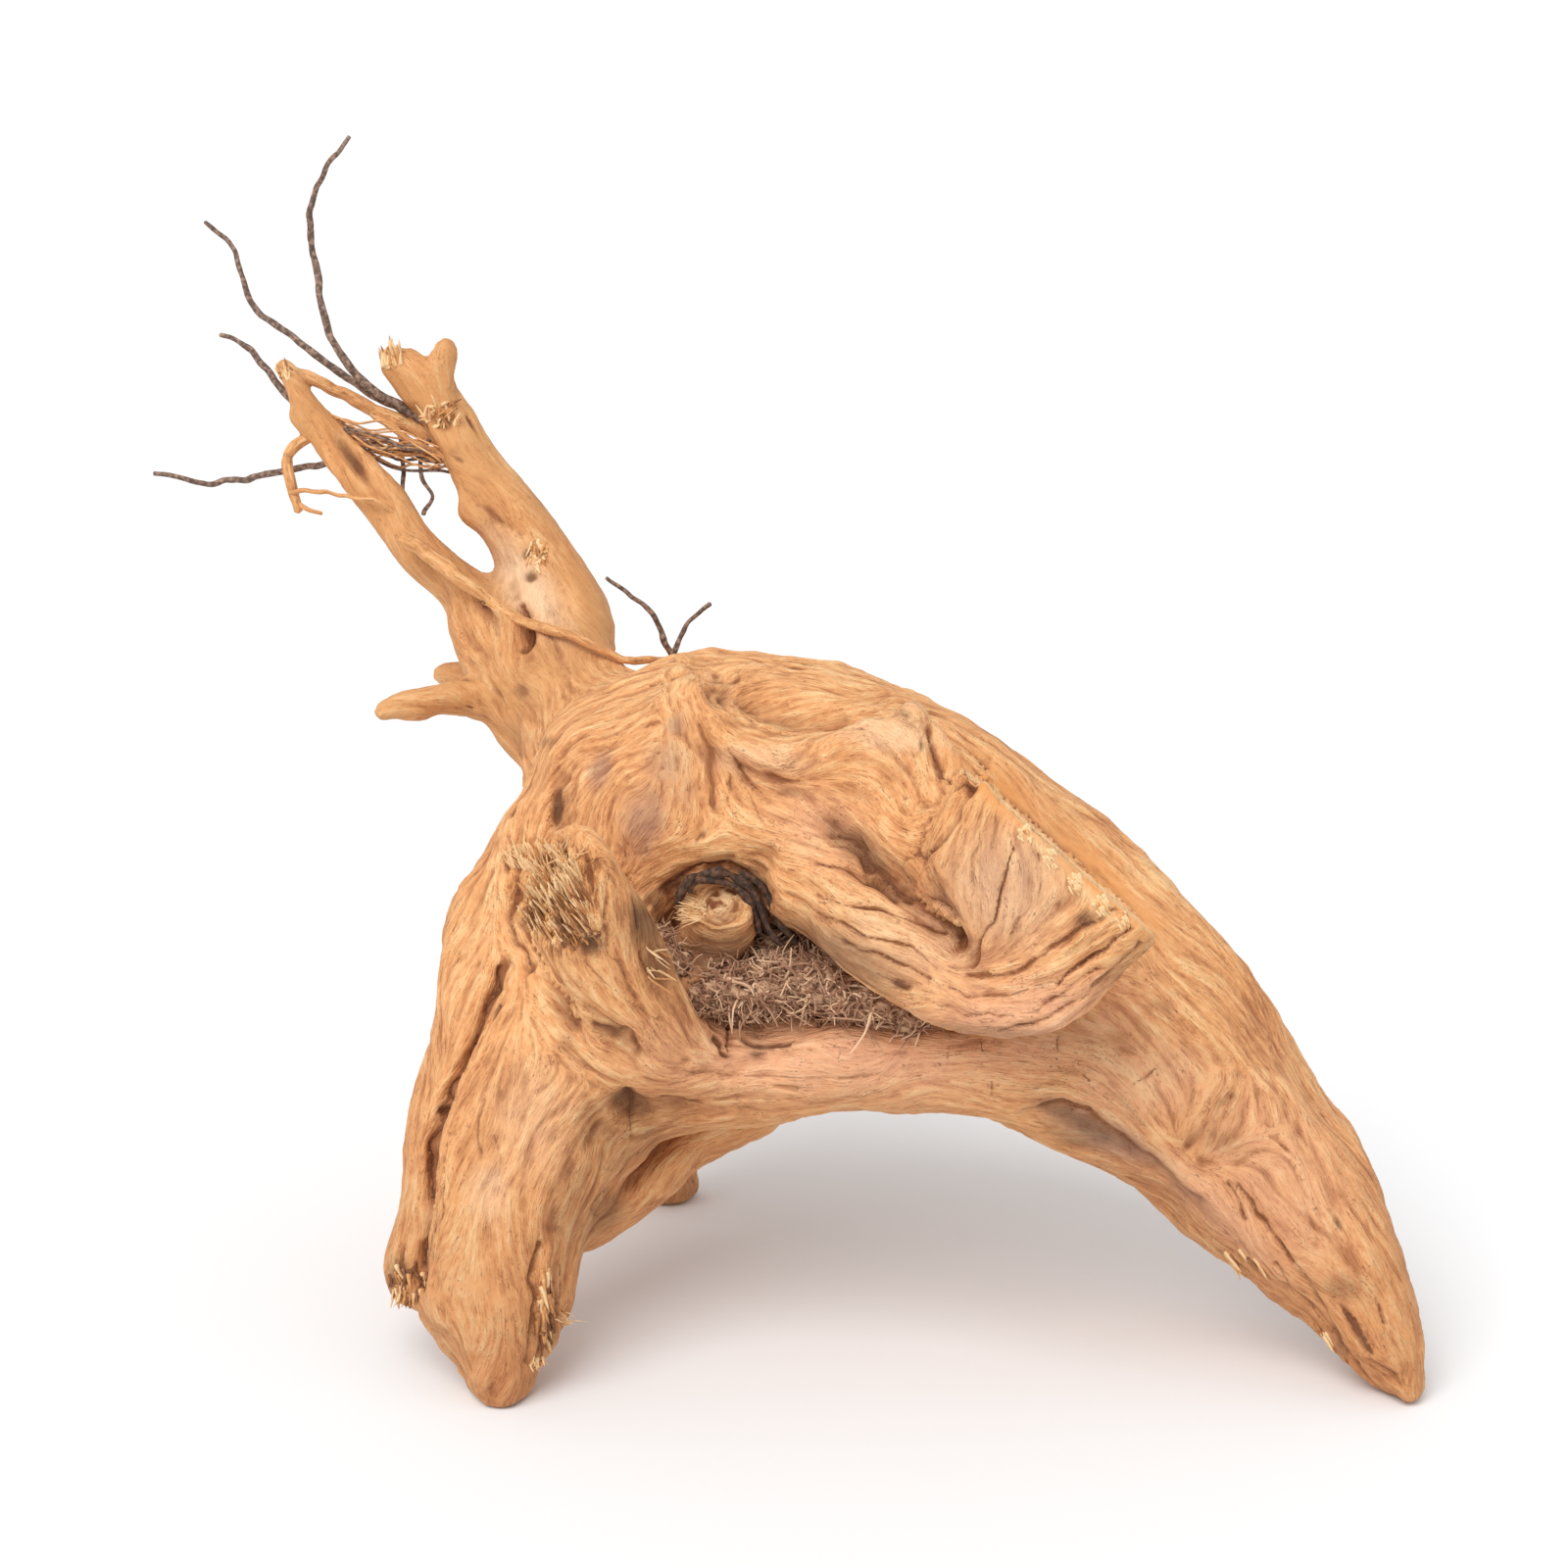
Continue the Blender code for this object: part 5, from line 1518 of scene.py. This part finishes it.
TUFTS: tuple[Tuft, ...] = tuple(Tuft(*row) for row in (
    ((556, 896), (38, 24), 200, (-0.36, -0.25, 0.9), 0.12, (4, 9), (0.35, 0.75), 0.08, 0.25),
    ((560, 900), (36, 26), 50, (-0.3, -0.25, 0.9), 0.16, (4, 9), (0.7, 1.2), 0.05, 0.2),
    ((572, 932), (34, 28), 210, (-0.4, -0.25, 0.88), 0.1, (4, 9), (0.35, 0.75), 0.08, -0.16),
    ((590, 958), (24, 14), 60, (-0.35, -0.3, 0.85), 0.16, (3, 7), (0.3, 0.6), 0.12, -0.5),
    ((552, 878), (36, 10), 90, (-0.3, -0.1, 0.95), 0.2, (3, 6), (0.4, 0.8), 0.08, 0.5),
    ((574, 880), (34, 12), 16, (0.7, -0.5, 0.6), 0.3, (5, 11), (0.25, 0.45), 0.1),
    ((664, 985), (10, 24), 14, (0.7, -0.6, -0.1), 0.3, (5, 10), (0.25, 0.5), 0.1),
    ((709, 927), (11, 13), 200, (-0.94, -0.35, 0.1), 0.22, (3, 6.5), (0.28, 0.5), 0.1, 0.4),
    ((556, 1330), (10, 36), 34, (0.05, -0.05, -1), 0.1, (4, 8), (0.7, 1.4), 0.1, -0.25),
    ((1262, 1284), (22, 10), 12, (0.6, -0.2, -0.75), 0.08, (4, 8), (0.6, 1.1), 0.05, 0.0),
    ((1346, 1362), (16, 10), 9, (0.6, -0.2, -0.75), 0.08, (3, 7), (0.6, 1.1), 0.05, -0.1),
    ((572, 1344), (8, 8), 18, (0.9, -0.4, 0.1), 0.3, (3, 6), (0.2, 0.4), 0.22, 0.2),
    ((548, 1390), (12, 6), 20, (-0.1, -0.5, -0.8), 0.3, (2, 4), (0.3, 0.6), 0.22, 0.2),
    ((418, 1306), (20, 18), 60, (0.1, -0.05, -1), 0.16, (3, 6), (0.5, 1.0), 0.16, -0.3),
    ((548, 566), (11, 15), 34, (0.2, -0.5, -0.8), 0.3, (2, 4), (0.5, 1.0), 0.3, 0.1),
    ((452, 424), (20, 13), 44, (0.3, -0.4, 0.7), 0.4, (2, 5), (0.5, 1.1), 0.3, 0.1),
    ((398, 364), (15, 10), 50, (-0.1, -0.1, 1), 0.12, (3, 6), (0.6, 1.1), 0.06, 0.1),
    ((291, 379), (8, 8), 22, (-0.4, -0.1, 1), 0.16, (2, 4), (0.5, 0.9), 0.1, 0.1),
    ((1046, 852), (7, 9), 20, (0.5, -0.1, -0.8), 0.16, (1, 2.6), (0.4, 0.9), 0.05, 0.4),
    ((1072, 877), (8, 9), 26, (0.5, -0.1, -0.8), 0.16, (1, 2.6), (0.4, 0.9), 0.05, 0.5),
    ((1098, 902), (8, 9), 30, (0.5, -0.1, -0.8), 0.16, (1, 3.0), (0.4, 1.0), 0.05, 0.5),
    ((1124, 924), (8, 9), 26, (0.5, -0.1, -0.8), 0.16, (1, 2.6), (0.4, 0.9), 0.05, 0.3),
    ((1146, 940), (7, 8), 16, (0.5, -0.1, -0.8), 0.16, (1, 2.4), (0.4, 0.9), 0.05, 0.3),
))


@dataclass
class TornFibres:
    """Splinters and hair-thin fibres at the breaks, knots and foot ends."""

    sides: int = 4
    rows: int = 6
    reach: float = 0.53
    root_mm: float = 0.8
    seed: int = 21

    def build(self, skin: WoodSkin) -> None:
        """Stands tapered fibres on the skin's points in each tuft, curled away from their first way.

        Args:
            skin: The carved wood.
        """
        rng = np.random.default_rng(self.seed)
        normals = point_normals(skin.points, skin.faces)
        pixels, _ = VIEW.project(skin.points)
        seen = VIEW.seen(skin.points, normals)
        bundle = Bundle()
        share = np.linspace(0, 1, self.rows)[None, :, None]
        for tuft in TUFTS:
            inside = (((pixels - np.array(tuft.centre)) / np.array(tuft.half_axes)) ** 2).sum(1) < 1
            middle = skin.places_at(skin.points, pixels, seen, (tuft.centre,))[0]
            near = np.linalg.norm(skin.points - middle, axis=1) < self.reach * max(tuft.half_axes)
            found = np.flatnonzero(inside & seen & near)
            if not len(found):
                log.warning("no wood at tuft %s", tuft.centre)
                continue
            picked = rng.choice(found, tuft.count)
            scatter = normals[picked] + rng.normal(0, 1, (tuft.count, 3))
            way = unit(np.array(tuft.way) + tuft.spread * scatter)
            length = rng.uniform(*tuft.lengths_mm, (tuft.count, 1))
            curl = rng.normal(0, tuft.curl, (tuft.count, 3)) * length
            base = skin.points[picked] - self.root_mm * way
            centres = base[:, None] + way[:, None] * length[:, None] * share + curl[:, None] * share**2
            radii = rng.uniform(*tuft.radii_mm, (tuft.count, 1)) * (1.05 - share[:, :, 0]) ** 0.6
            points, faces, ways = tubes(centres, radii, self.sides)
            tint = np.repeat(rng.uniform(0, 1, tuft.count) + tuft.tone, self.rows * self.sides + 2)
            bundle.add(points, faces, grain=ways, tint=tint)
        bundle.make("torn_fibres", FibreFinish().material(), "wood")


@dataclass
class DriedSoil:
    """Crumbly soil caught in the front pocket, with a mat of rootlets."""

    voxel_mm: float = 0.7
    swell_mm: float = 0.6
    lump_mm: float = 1.2
    lump_size_mm: float = 4.6
    crumb_mm: float = 0.9
    crumb_size_mm: float = 1.9
    relax_rounds: int = 4
    rootlets: int = 3000
    lengths_mm: tuple[float, float] = (2.5, 8.0)
    radii_mm: tuple[float, float] = (0.2, 0.58)
    seed: int = 31
    sides: int = 4
    rows: int = 7

    def build(self) -> None:
        """Makes the soil, which stands for its CAD node, and its rootlets."""
        points, triangles = node_triangles("soil_mat")
        points, quads = level_set(points, triangles, self.voxel_mm).convertToQuads(self.swell_mm)
        faces = quads[:, ::-1].astype(int)
        points = relax(points.astype(float), faces, self.relax_rounds, 0.5)
        normals = point_normals(points, faces)
        lumps = soft_noise(points, self.lump_size_mm, 80)
        crumbs = soft_noise(points, self.crumb_size_mm, 81)
        points = points + normals * (self.lump_mm * lumps + self.crumb_mm * crumbs)[:, None]
        bundle = Bundle()
        bundle.add(points, faces, lump=np.clip(0.5 + 0.3 * lumps + 0.2 * crumbs, 0, 1))
        soil = bundle.make("dried_soil", DrySoilFinish().material(), "soil")
        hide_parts("soil_mat")
        rng = np.random.default_rng(self.seed)
        seen = VIEW.seen(points, normals)
        picked = rng.choice(np.flatnonzero(seen), self.rootlets)
        across = unit(np.cross(normals[picked], rng.normal(0, 1, (self.rootlets, 3))))
        way = unit(across + normals[picked] * rng.uniform(0.0, 0.5, (self.rootlets, 1)))
        length = rng.uniform(*self.lengths_mm, (self.rootlets, 1))
        curl = rng.normal(0, 0.5, (self.rootlets, 3)) * length
        wave = rng.normal(0, 0.6, (self.rootlets, 3))
        share = np.linspace(0, 1, self.rows)[None, :, None]
        centres = (points[picked] + 0.2 * normals[picked])[:, None] + way[:, None] * length[:, None] * share
        centres = centres + curl[:, None] * share**2 + wave[:, None] * np.sin(share * 7)
        radii = rng.uniform(*self.radii_mm, (self.rootlets, 1)) * (1.1 - share[:, :, 0]) ** 0.4
        points, faces, ways = tubes(centres, radii, self.sides)
        tint = np.repeat(rng.uniform(0, 1, self.rootlets) ** 1.9, self.rows * self.sides + 2)
        bundle = Bundle()
        bundle.add(points, faces, grain=ways, tint=tint)
        bundle.make("soil_rootlets", RootletFinish().material(), "soil")


@dataclass(frozen=True)
class FibreFinish:
    """Freshly torn wood fibre: dull, from straw to orange brown, a tone for each fibre."""

    straw: str = "F0CC9A"
    amber: str = "D2955A"
    brown: str = "7A4A2A"
    mottle_mm: float = 2.0
    roughness: float = 0.7

    def material(self) -> bpy.types.Material:
        """Builds the material from each fibre's tint and fine mottling.

        Returns:
            The new material.
        """
        material = new_material("torn_wood_fibre", self.roughness)
        tree = material.node_tree
        tint = add_node(tree, "Attribute", out="Fac", attribute_name="tint")
        place = add_node(tree, "TexCoord", out="Object")
        noise = add_node(tree, "TexNoise", place, inputs={"Scale": 1 / (self.mottle_mm * MM), "Detail": 3.0})
        tone = add_node(tree, "Math", noise, 0.6, tint, operation="MULTIPLY_ADD")
        stops = ((0.2, self.brown), (0.7, self.amber), (1.0, self.straw))
        return paint(material, add_node(tree, "ValToRGB", tone, stops=stops))


@dataclass(frozen=True)
class RootBark:
    """Thin dry roots that keep some bark: grey brown, with pale pinkish places where it has flaked off."""

    bark: str = "5C473B"
    flaked: str = "B0907C"
    flake_mm: float = 1.5
    relief_mm: float = 0.3
    roughness: float = 0.75

    def material(self) -> bpy.types.Material:
        """Builds the material from flakes of about a millimetre and a half.

        Returns:
            The new material.
        """
        material = new_material("dry_root_bark", self.roughness)
        tree = material.node_tree
        place = add_node(tree, "TexCoord", out="Object")
        flakes = add_node(tree, "TexNoise", place, inputs={"Scale": 1 / (self.flake_mm * MM), "Detail": 3.0})
        colour = add_node(tree, "ValToRGB", flakes, stops=((0.42, self.bark), (0.72, self.flaked)))
        return paint(material, colour, flakes, self.relief_mm)


@dataclass(frozen=True)
class DrySoilFinish:
    """Dried soil: matte, dark brown in its gaps and greyer on its crumbs."""

    gap: str = "64452F"
    crumb: str = "DEB692"
    grit_mm: float = 1.1
    relief_mm: float = 0.7
    roughness: float = 0.95

    def material(self) -> bpy.types.Material:
        """Builds the material from the lumps and a millimetre grit.

        Returns:
            The new material.
        """
        material = new_material("dried_soil", self.roughness)
        tree = material.node_tree
        place = add_node(tree, "TexCoord", out="Object")
        grit = add_node(tree, "TexNoise", place, inputs={"Scale": 1 / (self.grit_mm * MM), "Detail": 5.0})
        lump = add_node(tree, "Attribute", out="Fac", attribute_name="lump")
        tone = add_node(tree, "Math", grit, lump, operation="ADD")
        colour = add_node(tree, "ValToRGB", tone, stops=((0.35, self.gap), (0.95, self.crumb)))
        return paint(material, colour, grit, self.relief_mm)


@dataclass(frozen=True)
class RootletFinish:
    """Hair-thin dead roots: dull brown, some bleached to tan."""

    brown: str = "9A6C52"
    tan: str = "F0CBA6"
    roughness: float = 0.8

    def material(self) -> bpy.types.Material:
        """Builds the material from each rootlet's tint.

        Returns:
            The new material.
        """
        material = new_material("dead_rootlets", self.roughness)
        tree = material.node_tree
        tint = add_node(tree, "Attribute", out="Fac", attribute_name="tint")
        return paint(material, add_node(tree, "ValToRGB", tint, stops=((0.0, self.brown), (1.0, self.tan))))


@dataclass
class Studio:
    """A pale floor and soft light."""

    floor_radius_m: float = 40.0
    floor_sides: int = 64
    floor_roughness: float = 0.9
    floor: str = "ECEDEE"
    sky: float = 0.78
    sun: float = 1.95
    sun_spread: float = 0.8
    sun_turn: tuple[float, float, float] = (math.radians(34), math.radians(-22), 0)

    def build(self) -> None:
        """Makes the floor, the lights and the world."""
        count = self.floor_sides
        radius = self.floor_radius_m / MM
        turn = np.linspace(0, 2 * math.pi, count, endpoint=False)
        ring = np.stack([np.cos(turn) * radius, np.sin(turn) * radius, np.zeros(count)], 1)
        after = np.arange(count)
        faces = np.stack([np.zeros(count, int), after + 1, (after + 1) % count + 1], 1)
        floor = make_object("studio_floor", np.vstack([np.zeros((1, 3)), ring]), faces)
        paper = new_material("matte_paper", self.floor_roughness)
        shader = paper.node_tree.nodes["Principled BSDF"]
        shader.inputs["Base Color"].default_value = hex_to_linear(self.floor)
        floor.data.materials.append(paper)
        world = bpy.data.worlds.new("world")
        world.use_nodes = True
        background = world.node_tree.nodes["Background"]
        background.inputs["Color"].default_value = (1, 1, 1, 1)
        background.inputs["Strength"].default_value = self.sky
        bpy.context.scene.world = world
        data = bpy.data.lights.new("key_light", "SUN")
        data.energy = self.sun
        data.angle = self.sun_spread
        light = bpy.data.objects.new("key_light", data)
        light.rotation_euler = self.sun_turn
        bpy.context.scene.collection.objects.link(light)
        bpy.context.scene.view_settings.view_transform = "Standard"


def main() -> None:
    """Builds the pieces in order."""
    logging.basicConfig(level=logging.INFO, format="%(name)s %(message)s")
    VIEW.make()
    Studio().build()
    skin = WoodSkin()
    skin.build()
    ThinRoots().build()
    TornFibres().build(skin)
    DriedSoil().build()


if __name__ == "__main__":
    main()
